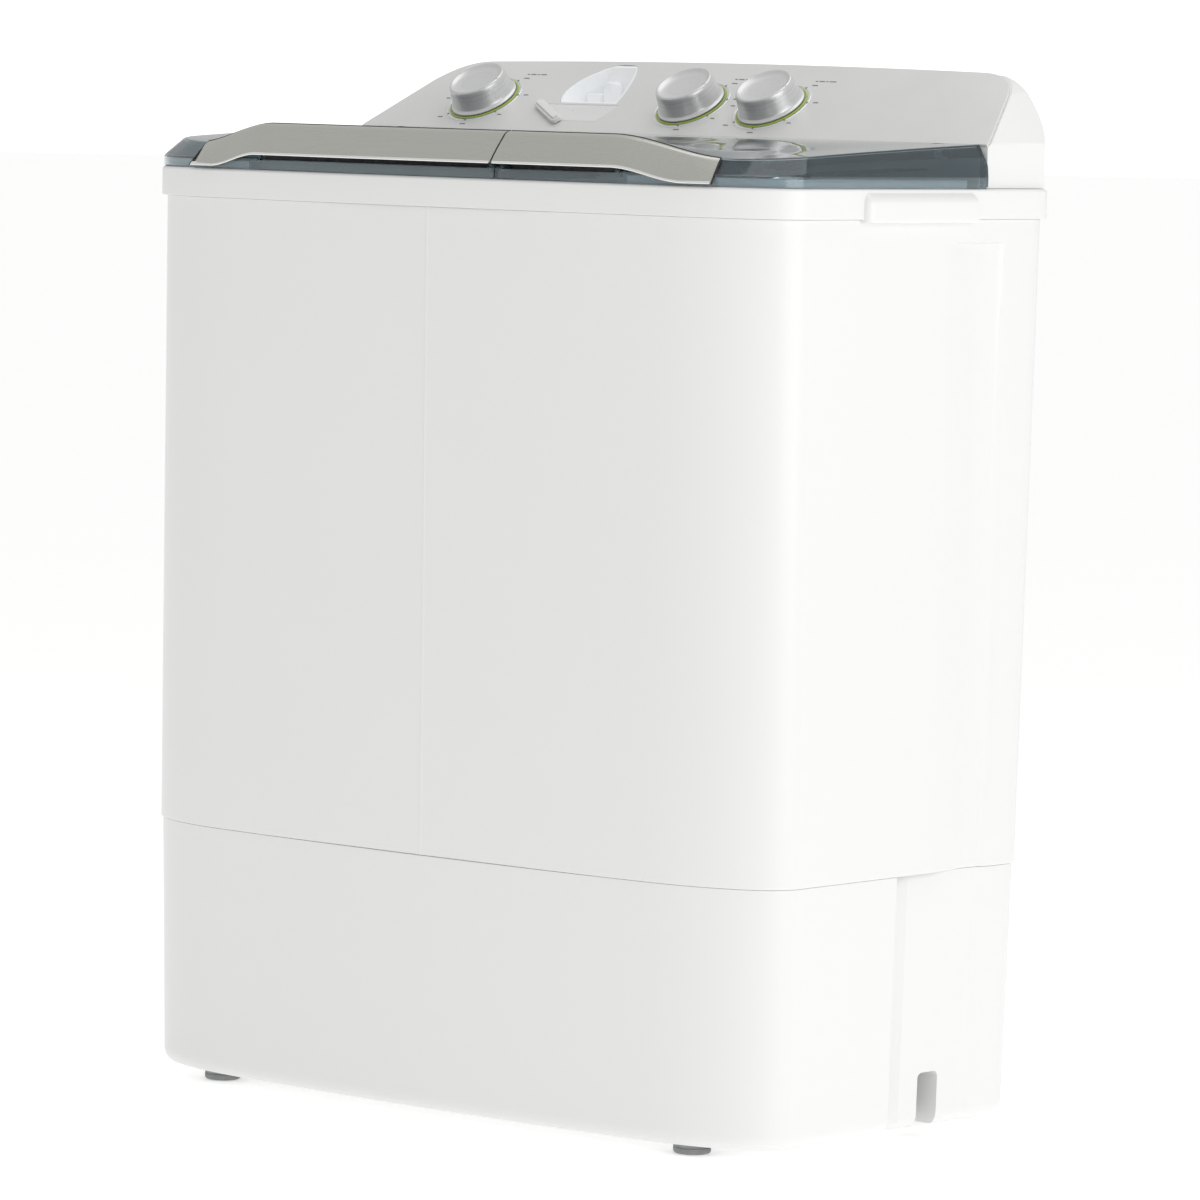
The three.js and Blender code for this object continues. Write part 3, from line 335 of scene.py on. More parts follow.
def square_to(points, side):
    """Each point of a line with two directions square to the line there; side is near the first of them."""
    for i, point in enumerate(points):
        ahead = (points[min(i + 1, len(points) - 1)] - points[max(i - 1, 0)]).normalized()
        side = (side - ahead * side.dot(ahead)).normalized()
        yield point, side, ahead.cross(side)


def tube(name, points, radius, sides):
    """A round bead along a line of points."""
    rings = []
    for point, side, other in square_to(points, Vector((0, 0, 1))):
        rings.append([tuple(point + side * a + other * b) for a, b in circle(radius, steps=sides)])
    return loft(name, rings)


def blend_levels(a, b, share):
    return {key: a[key] + (b[key] - a[key]) * share for key in a}


# ---------------------------------------------------------------- materials
def shader(name):
    material = bpy.data.materials.new(name)
    material.use_nodes = True
    tree = material.node_tree
    return material, tree, tree.nodes["Principled BSDF"]


def put(made, **values):
    """Sets a node's inputs by name, each to a value or from a socket; an underscore stands for a space."""
    for key, value in values.items():
        socket = made.inputs[key.replace("_", " ")]
        if isinstance(value, bpy.types.NodeSocket):
            made.id_data.links.new(value, socket)
        else:
            socket.default_value = value
    return made


def node(tree, kind, inputs=(), **values):
    """A new node, with some of its inputs and properties set."""
    made = tree.nodes.new(kind)
    for key, value in values.items():
        setattr(made, key, value)
    return put(made, **dict(inputs))


def noise(tree, vector, scale, detail=3.0, rough=0.5):
    inputs = {"Scale": scale, "Detail": detail, "Roughness": rough, "Vector": vector}
    return node(tree, "ShaderNodeTexNoise", inputs).outputs["Fac"]


def stretch(tree, fac, low, high, from_low=0.3, from_high=0.7):
    """Turns one range of values into another."""
    inputs = {"From Min": from_low, "From Max": from_high, "To Min": low, "To Max": high, "Value": fac}
    return node(tree, "ShaderNodeMapRange", inputs, clamp=True).outputs["Result"]


def mix_colour(tree, fac, first, second):
    """A mix of two colours, each an RGB triple or a socket."""
    made = node(tree, "ShaderNodeMix", data_type="RGBA")
    tree.links.new(fac, made.inputs[0])
    for socket, value in ((made.inputs[6], first), (made.inputs[7], second)):
        if isinstance(value, bpy.types.NodeSocket):
            tree.links.new(value, socket)
        else:
            socket.default_value = (*value, 1)
    return made.outputs[2]


def shades(colour, low, high):
    """A darker and a lighter version of a colour."""
    return tuple(c * low for c in colour), tuple(min(c * high, 1) for c in colour)


def add_bump(tree, bsdf, height, strength, distance, **before):
    inputs = {"Strength": strength, "Distance": distance, "Height": height, **before}
    normal = node(tree, "ShaderNodeBump", inputs).outputs["Normal"]
    put(bsdf, Normal=normal)
    return normal


def object_coords(tree, scale=None):
    coords = node(tree, "ShaderNodeTexCoord").outputs["Object"]
    if scale is None:
        return coords
    return node(tree, "ShaderNodeMapping", {"Scale": scale, "Vector": coords}).outputs["Vector"]


def surface(
    name, colour, roughness, tone=0.05, spread=0.06, grain=700, depth=0.00004, blotch=9, wear=0.0,
    worn=(0.8, 0.8, 0.8), **sockets
):
    """A moulded, painted or cast surface: mottled tone, uneven gloss, a fine grain, and worn edges."""
    material, tree, bsdf = shader(name)
    coords = object_coords(tree)
    broad = noise(tree, coords, blotch, 4)
    shade = mix_colour(tree, stretch(tree, broad, 0, 1, 0.2, 0.8), *shades(colour, 1 - tone, 1 + tone * 0.4))
    if wear:
        geometry = node(tree, "ShaderNodeNewGeometry").outputs["Pointiness"]
        scuffed = node(tree, "ShaderNodeMath", operation="MULTIPLY")
        tree.links.new(stretch(tree, geometry, 0, wear, 0.52, 0.58), scuffed.inputs[0])
        tree.links.new(stretch(tree, noise(tree, coords, 160, 6), 0, 1, 0.42, 0.6), scuffed.inputs[1])
        shade = mix_colour(tree, scuffed.outputs[0], shade, worn)
    uneven = noise(tree, coords, blotch * 3.3, 4)
    gloss = stretch(tree, uneven, roughness - spread, roughness + spread, 0.2, 0.8)
    put(bsdf, Base_Color=shade, Roughness=gloss, **sockets)
    ripple = add_bump(tree, bsdf, noise(tree, coords, grain / 12, 2), 0.25, depth * 2.2)
    add_bump(tree, bsdf, noise(tree, coords, grain, 3), 0.5, depth, Normal=ripple)
    return material


def brushed(name, colour, roughness, scale, **sockets):
    """Metal with long fine lines; scale stretches the grain along one axis."""
    material, tree, bsdf = shader(name)
    lines = noise(tree, object_coords(tree, scale), 1.0, 5, 0.65)
    broad = noise(tree, object_coords(tree), 14, 3)
    streaked = mix_colour(tree, stretch(tree, lines, 0, 1, 0.2, 0.8), *shades(colour, 0.93, 1.05))
    shade = mix_colour(tree, stretch(tree, broad, 0, 0.35), streaked, shades(colour, 0.95, 1)[0])
    put(bsdf, Base_Color=shade, Roughness=stretch(tree, lines, roughness - 0.05, roughness + 0.06), **sockets)
    add_bump(tree, bsdf, lines, 0.2, 0.00001)
    return material


def sparkling(tree, flakes, share, span, base, colour, brightness):
    """A base colour with brighter flakes in it."""
    return mix_colour(tree, stretch(tree, flakes, 0, share, *span), base, shades(colour, 1, brightness)[1])


def turned_metal(name, colour, roughness, pitch, **sockets):
    """Metallic finish with fine rings about the piece's own upright axis."""
    material, tree, bsdf = shader(name)
    coords = object_coords(tree)
    split = node(tree, "ShaderNodeSeparateXYZ", {"Vector": coords}).outputs
    flat = node(tree, "ShaderNodeCombineXYZ", {"X": split["X"], "Y": split["Y"]})
    radius = node(tree, "ShaderNodeVectorMath", {"Vector": flat.outputs["Vector"]}, operation="LENGTH")
    polar = node(tree, "ShaderNodeCombineXYZ", {"X": radius.outputs["Value"], "Y": split["Z"]})
    lines = noise(tree, polar.outputs["Vector"], pitch, 4, 0.6)
    ringed = mix_colour(tree, stretch(tree, lines, 0, 1), *shades(colour, 0.88, 1.07))
    shade = sparkling(tree, noise(tree, coords, 2600, 2), 0.5, (0.5, 0.7), ringed, colour, 1.18)
    put(bsdf, Base_Color=shade, Roughness=stretch(tree, lines, roughness - 0.06, roughness + 0.08), **sockets)
    add_bump(tree, bsdf, lines, 0.4, 0.00006)
    return material


def flaked(name, colour, roughness, **sockets):
    """Silver paint on plastic: fine flakes under a satin skin."""
    material, tree, bsdf = shader(name)
    coords = object_coords(tree)
    base = mix_colour(tree, stretch(tree, noise(tree, coords, 6, 3), 0, 1), *shades(colour, 0.95, 1.03))
    shade = sparkling(tree, noise(tree, coords, 3200, 2), 0.6, (0.5, 0.72), base, colour, 1.22)
    gloss = stretch(tree, noise(tree, coords, 26, 5), roughness - 0.05, roughness + 0.06)
    put(bsdf, Base_Color=shade, Roughness=gloss, **sockets)
    add_bump(tree, bsdf, noise(tree, coords, 900, 3), 0.35, 0.00002)
    return material


def spangled(name, colour):
    """Zinc-plated sheet: crystals of slightly different grey."""
    material, tree, bsdf = shader(name)
    coords = object_coords(tree)
    cells = node(tree, "ShaderNodeTexVoronoi", {"Scale": 130, "Vector": coords}).outputs["Color"]
    tint = node(tree, "ShaderNodeSeparateColor", {"Color": cells}).outputs
    shade = mix_colour(tree, tint[0], *shades(colour, 0.8, 1.1))
    put(bsdf, Base_Color=shade, Roughness=stretch(tree, tint[1], 0.28, 0.46, 0, 1), Metallic=0.9)
    add_bump(tree, bsdf, noise(tree, coords, 420, 4), 0.3, 0.00004)
    return material


SKIRT_TOP = (0.8936, 0.8952)  # metres up, where the paler colour painted on the lids' skirt ends


def tinted(name, colour, roughness, skirt=None):
    """Clear tinted plastic, faintly uneven, with light haze and hairline scratches, and a skirt painted
    paler: painted light standing in for the bright rim seen through it.
    """
    material, tree, bsdf = shader(name)
    coords = object_coords(tree)
    broad = stretch(tree, noise(tree, coords, 7, 3), 0, 1)
    shade = mix_colour(tree, broad, shades(colour, 0.9, 1)[0], colour)
    if skirt:
        height = node(tree, "ShaderNodeSeparateXYZ", {"Vector": coords}).outputs["Z"]
        # Painted light: below SKIRT_TOP the tint turns to the paler skirt colour, standing in for the bright
        # rim seen through the skirt.
        shade = mix_colour(tree, stretch(tree, height, 0, 1, *SKIRT_TOP), skirt, shade)
    scratches = noise(tree, object_coords(tree, (40, 900, 900)), 1.0, 4, 0.7)
    haze = stretch(tree, scratches, roughness, roughness + 0.05, 0.5, 0.72)
    put(bsdf, Base_Color=shade, Roughness=haze, Transmission_Weight=0.92, IOR=1.49)
    add_bump(tree, bsdf, noise(tree, coords, 18, 2), 0.12, 0.00012)
    return material


white = surface(
    "cabinet_white", (0.83, 0.83, 0.822), 0.3, tone=0.01, spread=0.03, grain=1100, depth=0.000012, blotch=3,
    Specular_IOR_Level=0.45,
)
panel_silver = flaked("fascia_silver", (0.74, 0.745, 0.735), 0.34, Metallic=0.25)
# Painted light: a paler silver for the scoop under the inlet, standing in for the light the concave scoop
# catches; on the diverter lever's white body it stands in for the shade on its sides.
light_and_shade_silver = flaked("light_and_shade_silver", (0.80, 0.80, 0.80), 0.28, Metallic=0.15)
rim_silver = flaked("dial_rim_silver", (0.80, 0.81, 0.81), 0.2, Metallic=0.4)
# The skirt colour here is painted light, paler where the white rim shows through.
lid_tint = tinted("lid_tint", (0.27, 0.355, 0.395), 0.035, skirt=(0.60, 0.70, 0.745))
handle_metal = brushed("handle_brushed", (0.56, 0.56, 0.52), 0.3, (4, 1100, 1100), Metallic=0.85)
lip_metal = brushed("handle_lip", (0.9, 0.9, 0.89), 0.12, (3, 700, 700), Metallic=0.75)
knob_metal = turned_metal("knob_silver", (0.70, 0.70, 0.705), 0.32, 1500, Metallic=0.5)
green = surface("dial_green", (0.36, 0.50, 0.06), 0.35, tone=0.08, grain=900, blotch=40)
clear = tinted("dial_clear", (0.85, 0.88, 0.86), 0.06)
tub_white = surface("tub_white", (0.80, 0.83, 0.85), 0.26, tone=0.03, spread=0.07, grain=800, blotch=7)
pale_blue = surface("pale_blue_plastic", (0.56, 0.70, 0.80), 0.28, spread=0.08, grain=650, blotch=8)
# Painted light: the inlet's plastic glows faintly, which lifts its shaded inside as if lit.
inlet_glow_white = surface(
    "inlet_glow_white", (0.90, 0.915, 0.93), 0.2, tone=0.03, spread=0.04, grain=900, blotch=14,
    Emission_Color=(1, 1, 1, 1), Emission_Strength=0.1,
)
steel = brushed("steel", (0.62, 0.63, 0.64), 0.28, (600, 600, 40), Metallic=1.0)
enamel = surface(
    "black_enamel", (0.035, 0.04, 0.045), 0.36, tone=0.2, spread=0.09, grain=260, depth=0.00012, blotch=22,
    wear=0.5, worn=(0.35, 0.34, 0.33),
)
rubber = surface(
    "black_rubber", (0.022, 0.022, 0.023), 0.72, tone=0.3, spread=0.1, grain=1300, depth=0.00008, blotch=60,
    wear=0.25, worn=(0.12, 0.12, 0.12),
)
grey_rubber = surface(
    "foot_rubber", (0.26, 0.265, 0.27), 0.7, tone=0.16, spread=0.1, grain=1300, depth=0.00008, blotch=90,
    wear=0.35, worn=(0.5, 0.5, 0.49),
)
grey_plastic = surface(
    "grey_plastic", (0.36, 0.37, 0.38), 0.48, tone=0.08, spread=0.08, grain=520, depth=0.00007, blotch=30,
    wear=0.2, worn=(0.55, 0.55, 0.55),
)
zinc = spangled("zinc_steel", (0.50, 0.52, 0.53))
ink = surface("print_ink", (0.20, 0.20, 0.205), 0.5, tone=0.25, spread=0.1, grain=2400, blotch=500)

# ---------------------------------------------------------------- cabinet shell
# How far inside the rim the shell and the base stand, at the top and the foot of each.
SHELL_TOP = {"side": 4.4, "front": 4.4, "rear": 4.4}
SHELL_FOOT = {"side": 4.4, "front": 13.2, "rear": 17.9}
BASE_TOP = {"side": 5.9, "front": 14.7, "rear": 19.4}
BASE_FOOT = {"side": 10.0, "front": 19.0, "rear": 21.8}
# The hollow down the right side, with a channel and a groove in the base for the drain hose, and its notch.
RECESS_Y0, RECESS_Y1, RECESS_DEPTH, RECESS_TOP = 64.0, 145.0, 7.0, 834.0
RECESS_TURN_Y = RECESS_Y1 - 32
CHANNEL_Y0, CHANNEL_STEP = 11.0, 2.2
GROOVE_Y1, GROOVE_STEP, GROOVE_DEPTH = 26.0, 0.6, 6.0
NOTCH = (62, 92, 61, 6)  # front, rear, top and corner radius
SLEEVE_X, SLEEVE_LENGTH, SLEEVE_WALL = 352.0, 60.0, 3.0


def ramp(value, start, length):
    return min(max((value - start) / length, 0.0), 1.0)


def found(curve, value):
    """The share of a rising curve at which it reaches a value, by halving."""
    low, high = 0.0, 1.0
    for _ in range(30):
        share = (low + high) / 2
        low, high = (share, high) if curve(share) < value else (low, share)
    return low


def recess_depth(y):
    """How far the long hollow down the right side of the shell is pressed in at a place along it."""
    if y < RECESS_TURN_Y:
        return RECESS_DEPTH * ramp(y, RECESS_Y0, RECESS_TURN_Y - RECESS_Y0)
    if y >= RECESS_Y1:
        return 0.0

    def along(t):
        return RECESS_TURN_Y * (1 - t) ** 2 + 2 * (RECESS_Y1 - 4) * t * (1 - t) + RECESS_Y1 * t * t

    t = found(along, y)
    return max(RECESS_DEPTH * (1 - t) ** 2 + 2 * (RECESS_DEPTH - 1) * t * (1 - t) - t * t, 0.0)


def channel_depth(y, inset):
    """The same in the base, where the hollow starts with a step and a groove."""
    step = ramp(y, CHANNEL_Y0 - inset, CHANNEL_STEP)
    groove = step - ramp(y, GROOVE_Y1 + inset, GROOVE_STEP)
    return (RECESS_DEPTH * step if y < RECESS_TURN_Y else recess_depth(y)) + GROOVE_DEPTH * groove


def pressed(ring, depth, share=1.0):
    """A ring with its right side pressed in."""
    edge = max(p[0] for p in ring)
    return [(x - share * depth(y) if x > edge - 1.0 else x, y, z) for x, y, z in ring]


def shell_ring(z, inset, crease=CREASE):
    share = (z - SEAM_Z) / (BAND_Z - SEAM_Z)
    ring = level(cabinet(inset, crease), z, **blend_levels(SHELL_FOOT, SHELL_TOP, share))
    return pressed(ring, recess_depth, 1 - ramp(z, RECESS_TOP - 0.6, 1.2))


def cabinet_shell():
    heights = [SEAM_Z, SEAM_Z + 0.5, SEAM_Z + 1.2] + [SEAM_Z + 40 * k for k in range(1, 15)]
    heights += [RECESS_TOP + above for above in (-8, -3, -1.4, -0.6, 0, 0.6, 1.4, 4, 12)] + [BAND_Z - GAP]
    rounding = {SEAM_Z: 1.0, SEAM_Z + 0.5: 0.35}
    outer = [shell_ring(z, rounding.get(z, 0.0)) for z in heights]
    inner = [shell_ring(z, WALL) for z in reversed(heights)]
    return loft("cabinet_wall", outer + inner, ring_of_rings=True)


piece(cabinet_shell(), "cabinet", white, "cabinet_white", "cabinet_shell")

# ---------------------------------------------------------------- base
BASE_FLOOR_Z = FOOT_HEIGHT + 7
BASE_CURVE = 14.0  # height of the rounding at the base's foot
SERVICE_WINDOW = (-300, 300, 45, 232, 8)  # sides, heights and corner radius of the opening behind


def base_ring(z, inset, extra=0.0):
    share = max((z - FOOT_HEIGHT - BASE_CURVE) / (SEAM_Z - FOOT_HEIGHT - BASE_CURVE), 0.0)
    insets = blend_levels(BASE_FOOT, BASE_TOP, share)
    ring = level(cabinet(inset), z, **{key: value + extra for key, value in insets.items()})
    return pressed(ring, lambda y: channel_depth(y, inset))


def tunnel(grow):
    """The way out for the drain hose, or the sleeve round it."""
    y0, y1, top, radius = NOTCH
    outline = rounded(y0 - grow, y1 + grow, -60, top + grow, radius + grow)
    return across("notch", outline, SLEEVE_X, SLEEVE_X + SLEEVE_LENGTH)


def standing(y):
    """Places a flat piece upright: its outline's second axis points up, its thickness forward from y."""
    return Matrix(((1, 0, 0, 0), (0, 0, -1, y), (0, 1, 0, 0), (0, 0, 0, 1)))


def base_shell():
    curve = []
    for i in range(9):
        angle = math.pi / 2 * i / 8
        curve.append((FOOT_HEIGHT + BASE_CURVE * (1 - math.cos(angle)), 8 * (1 - math.sin(angle))))
    outer = [base_ring(z, 0.0, extra) for z, extra in curve]
    outer += [base_ring(z, 0.0) for z in (60, 120, 180, 230, SEAM_Z - 1.2)]
    outer += [base_ring(SEAM_Z - 0.6, 0.25), base_ring(SEAM_Z - 0.3, 0.8)]
    inner = [base_ring(z, WALL) for z in (SEAM_Z - 0.3, 180, 120, 60, BASE_FLOOR_Z + 3)]
    inner += [base_ring(BASE_FLOOR_Z + 0.8, WALL + 1.2), base_ring(BASE_FLOOR_Z, WALL + 3)]
    obj = loft("base_tray", outer + inner)
    sleeve = tunnel(SLEEVE_WALL)
    boolean(sleeve, [loft("within", outer)], "INTERSECT")
    boolean(obj, [sleeve], "UNION")
    window = prism("window", rounded(*SERVICE_WINDOW), 0, 90, standing(240))
    vents = [prism("vent", rounded(-300 + 40 * i, -280 + 40 * i, -110, 90, 6), 0, 30) for i in range(5)]
    boolean(obj, [tunnel(0), window, *vents])
    return bevel(obj, 1.2, 2, 50)


piece(base_shell(), "cabinet", white, "cabinet_white", "base_shell")

# ---------------------------------------------------------------- top deck
WASH_MOUTH = (-366, 56, -190, 98, 82)
SPIN_MOUTH = 131.0
COLLAR = 9.0


def wash_mouth(inset):
    x0, x1, y0, y1, radius = WASH_MOUTH
    return rounded(x0 + inset, x1 - inset, y0 + inset, y1 - inset, radius - inset, 14)


def carry_grip(side):
    """The ledge moulded on the rim for lifting the machine."""
    levels = [(853, 5.5), (853.4, 7), (854.5, 7.8), (856.5, 8), (871, 8), (873.5, 7.4), (877, 4.6), (881, -1)]
    rings = []
    for z, out in levels:
        short = (8 - out) * 0.25
        outline = rounded(-72 + short, 94 - short, -10, out, min(7, (out + 10) / 2.2))
        rings.append([(side * (WIDTH / 2 + b), a, z) for a, b in outline])
    return loft("grip", rings)


def top_deck():
    lip = [(BAND_Z, 1.0), (BAND_Z + 0.3, 0.35), (BAND_Z + 1.0, 0.0), (RIM_Z - 3.2, 0.0)]
    lip += [(RIM_Z - 1.9, 0.35), (RIM_Z - 0.8, 1.1), (RIM_Z - 0.2, 2.2), (RIM_Z, 3.4)]
    obj = loft("deck_rim", [level(cabinet(0.0), z, inset, inset, inset) for z, inset in lip])
    boolean(obj, [prism("under", cabinet(5), BAND_Z - 1, RIM_Z - 4)])
    collars = [wash_mouth(-5), circle(SPIN_MOUTH + 5, *SPIN, 96)]
    raised = [prism("collar", outline, RIM_Z - 2, RIM_Z + COLLAR) for outline in collars]
    boolean(obj, [*raised, carry_grip(1), carry_grip(-1)], "UNION")
    mouths = [wash_mouth(0), circle(SPIN_MOUTH, *SPIN, 96)]
    cuts = [prism("mouth", outline, RIM_Z - 10, RIM_Z + 20) for outline in mouths]
    boolean(obj, [*cuts, prism("wiring", rounded(-300, 200, 150, 195, 8), RIM_Z - 10, RIM_Z + 5)])
    return bevel(obj, 1.0, 3, 50)


def lid_rests():
    """The white ridges just inside the lids' skirts, round the two front corners."""
    section = [(6.6, -0.5), (6.6, 7.4), (7.2, 8), (9.2, 8), (9.8, 7.4), (9.8, -0.5)]
    ridge = loft("rests", [level(cabinet(inset), RIM_Z + z) for inset, z in section], ring_of_rings=True)
    middle_cut = block("front", -236, 236, -300, 300, 800, 1000)
    rear_cut = block("rear", -500, 500, 86, 300, 800, 1000)
    return boolean(ridge, [middle_cut, rear_cut])


piece(lid_rests(), "cabinet", white, "cabinet_white")
piece(top_deck(), "cabinet", white, "cabinet_white", "top_deck")

# ---------------------------------------------------------------- console
# Half of the console's outline, across and up the slope: its foot, and its shoulder's start and end.
CONSOLE_HALF = 393.0
SLOPE_FOOT = 3.0
SLOPE_SIDE = (361.0, 87.0)
SLOPE_TOP = (308.0, 122.5)
PANEL_THICKNESS = 3.0


def console_outline(inset, foot_height, up):
    """The console from the front; up turns a place up the slope into a height."""
    steps = 18
    foot = CONSOLE_HALF - inset
    side, side_s = SLOPE_SIDE[0] - inset, up(SLOPE_SIDE[1] - inset * 0.5)
    top, top_s = SLOPE_TOP[0] - inset * 0.4, up(SLOPE_TOP[1] - inset)
    right = [(foot, foot_height), (foot, up(SLOPE_FOOT)), (side, side_s)]
    handles = (side - 12, up(108 - inset * 0.6)), (top + 28, up(SLOPE_TOP[1] - 1 - inset))
    right += bezier((side, side_s), *handles, (top, top_s), steps)
    crown_s = up(2 * PANEL_LENGTH - SLOPE_TOP[1] - inset)
    crown = []
    for i in range(1, 2 * steps):
        t = i / (2 * steps)
        crown.append((top * (1 - 2 * t), top_s * (1 - t) ** 2 + 2 * crown_s * t * (1 - t) + top_s * t * t))
    return right + crown + [(-x, y) for x, y in reversed(right)]


def hinge_bores(places, half):
    return [across("bore", circle(2.8, HINGE_Y, HINGE_Z, 24), x - half, x + half) for x in places]


def console_housing():
    def upright(s):
        return PANEL_FOOT.z + s * math.sin(PANEL_ANGLE)

    def along(name, inset, y0, y1, foot_height):
        outline = console_outline(inset, foot_height, upright)
        return loft(name, [[(x, y, z) for x, z in outline] for y in (y0, y1)])

    obj = along("console_body", 0, PANEL_FOOT.y + 2, DEPTH / 2, RIM_Z + GAP)
    boolean(obj, [prism("plan", cabinet(3), RIM_Z, 1010)], "INTERSECT")
    above = block("above", -450, 450, -200, 300, -PANEL_THICKNESS - GAP, 200, PANEL)
    hollow = along("hollow", WALL, PANEL_FOOT.y + 2 + WALL, DEPTH / 2, RIM_Z - 10)
    boolean(hollow, [prism("plan", cabinet(3 + WALL), RIM_Z - 20, 1010)], "INTERSECT")
    boolean(obj, [above, hollow])
    ear = arc(HINGE_Y, HINGE_Z, 6, math.pi / 2 * 0.9, math.pi * 1.75, 24)
    ear += [(PANEL_FOOT.y + 3, HINGE_Z - 4), (PANEL_FOOT.y + 3, HINGE_Z + 1)]
    places = (*HINGES["wash_lid"], *HINGES["spin_lid"])
    boolean(obj, [across("ear", ear, x - 5, x + 5) for x in places], "UNION")
    boolean(obj, hinge_bores(places, 9))
    return bevel(obj, 1.6, 3, 55)


piece(console_housing(), "cabinet", white, "cabinet_white", "console_housing")

FUNNEL = (-180, -96, 51, 122)  # left, right, foot and top on the panel
FUNNEL_REAR_Y, FUNNEL_FLOOR_Z = 217.0, 910.0


def funnel_outline(inset):
    """The water inlet's opening: a flat foot under three curves."""
    steps = 16
    left, right, foot, top = FUNNEL
    start = (left + 12 + inset, foot + inset)
    a = (right - inset, foot + inset)
    b = (-118, top - 3 - inset)
    c = (-160 + inset, top - 14 - inset)
    points = [start, a]
    points += bezier(a, (right - 2 - inset, 80), (right - 14 - inset, 112), b, steps)
    points += bezier(b, (-130, top + 1 - inset), (-150, top - inset), c, steps)
    points += bezier(c, (-174 + inset, 96), (left - 4 + inset, 70), start, steps)[:-1]
    return points


APRON = [(-148, 19), (-100, 19), (-90, 48), (-182, 48)]
APRON_DEPTH = 1.2
DIVERTER = (-149.0, 18.0)
DIVERTER_ANGLE = math.radians(147)


def control_panel():
    outline = console_outline(0.2, 0, lambda s: s)
    obj = prism("fascia", outline, -PANEL_THICKNESS, 0, PANEL)
    holes = [circle(5.5, x, KNOB_S, 40) for x in KNOB_X.values()]
    cutters = [prism("hole", hole, -10, 10, PANEL) for hole in (*holes, funnel_outline(0))]
    cutters.append(prism("hole", APRON, -APRON_DEPTH, 5, PANEL))
    cutters.append(prism("hole", circle(3.5, *DIVERTER, 32), -10, 10, PANEL))
    boolean(obj, cutters)
    return settled(bevel(obj, 0.7, 3, 50))


piece(control_panel(), "cabinet", panel_silver, "fascia_silver", "control_panel")


def apron_plate():
    """The scoop under the water inlet, curving down to its foot, painted paler than the fascia as a painted
    highlight for the light the concave scoop catches.
    """
    (left_foot, foot), (right_foot, _), (right_top, top), (left_top, _) = APRON
    gap, under = 0.4, 0.1 - APRON_DEPTH
    rings = []
    for i in range(9):
        t = i / 8
        left = left_foot + (left_top - left_foot) * t + gap
        right = right_foot + (right_top - right_foot) * t - gap
        s = foot + gap + (top - foot - 2 * gap) * t
        rise = -0.15 - 0.4 * math.sin(math.pi * t) ** 2
        rings.append([(left, s, under), (right, s, under), (right, s, rise), (left, s, rise)])
    return settled(loft("inlet_apron", rings, place=PANEL))


piece(apron_plate(), "cabinet", light_and_shade_silver, "fascia_silver")


def inlet_funnel():
    """A cup behind the opening, with an upright rear wall and a level floor."""

    def within(name, inset, height, y, z):
        shape = prism(name, funnel_outline(inset), -120, height, PANEL)
        return boolean(shape, [block("region", -200, -80, y - 140, y, z, z + 100)], "INTERSECT")

    cup = within("inlet_cup", GAP, -0.2, FUNNEL_REAR_Y, FUNNEL_FLOOR_Z)
    boolean(cup, [within("bowl", 2.4, 5, FUNNEL_REAR_Y - 2.4, FUNNEL_FLOOR_Z + 2.5)])
    return settled(bevel(cup, 0.6, 2, 50))


piece(inlet_funnel(), "cabinet", inlet_glow_white, "pale_blue_plastic", "inlet_funnel")


def inlet_spout():
    """The moulded spout and the column beside it, on the rear wall of the water inlet."""
    profile = [(0, 913), (8.5, 913), (9, 914), (8.6, 970), (7, 973.5), (0, 974.5)]
    column = lathe("column", profile, -139, 205.5, 40)
    spout = [
        [(x, y, z) for x, y in rounded(-169 + g, -150 - g, 199 + g, 214.4, 3)]
        for z, g in ((913, 0.5), (914, 0), (959, 0), (961.5, 1.0), (962.5, 2.6))
    ]
    return join("inlet_spout", [column, loft("spout", spout)])


piece(inlet_spout(), "cabinet", inlet_glow_white, "pale_blue_plastic")

# ---------------------------------------------------------------- diverter lever
lever_place = PANEL @ Matrix.Translation((*DIVERTER, 0)) @ Matrix.Rotation(DIVERTER_ANGLE, 4, "Z")


def lever_part(name, inset, levels):
    """A bar from the pivot at the origin; levels are its heights and how much further in it is there."""
    rings = []
    for z, g in levels:
        shrink = inset + g
        outline = rounded(-6 + shrink, 50 - shrink, -5.4 + shrink, 5.4 - shrink, max(3.6 - shrink, 0.4))
        rings.append([(x, y, z) for x, y in outline])
    return loft(name, rings, place=lever_place)


lever_base = lever_part("lever_base", 0, [(0.8, 0.5), (1.3, 0), (4.6, 0), (5.0, 0.5)])
pivot = lathe("lever_pivot", [(0, -6), (2.6, -6), (3, -5.5), (3, 0.9), (0, 0.9)], 0, 0, 40, lever_place)
lever_core = join("diverter_core", [lever_base, pivot])
# Painted shade: the lever's body, white plastic, takes the greyer silver in place of the shade on its sides.
piece(lever_core, "inlet_diverter", light_and_shade_silver, "cabinet_white", "inlet_diverter")
lever_cap = lever_part("diverter_cap", 2.4, [(4.9, 0.3), (5.1, 0), (6.3, 0), (6.8, 0.3), (7.0, 0.9)])
piece(lever_cap, "inlet_diverter", white, "cabinet_white")

# ---------------------------------------------------------------- knobs and dials
KNOB_TOP = 25.0
DOT_RADIUS, STROKE_RADIUS = 39.1, 45.5  # how far from a knob's axis its dots and printed strokes stand


def knob_place(x):
    return PANEL @ Matrix.Translation((x, KNOB_S, 0))


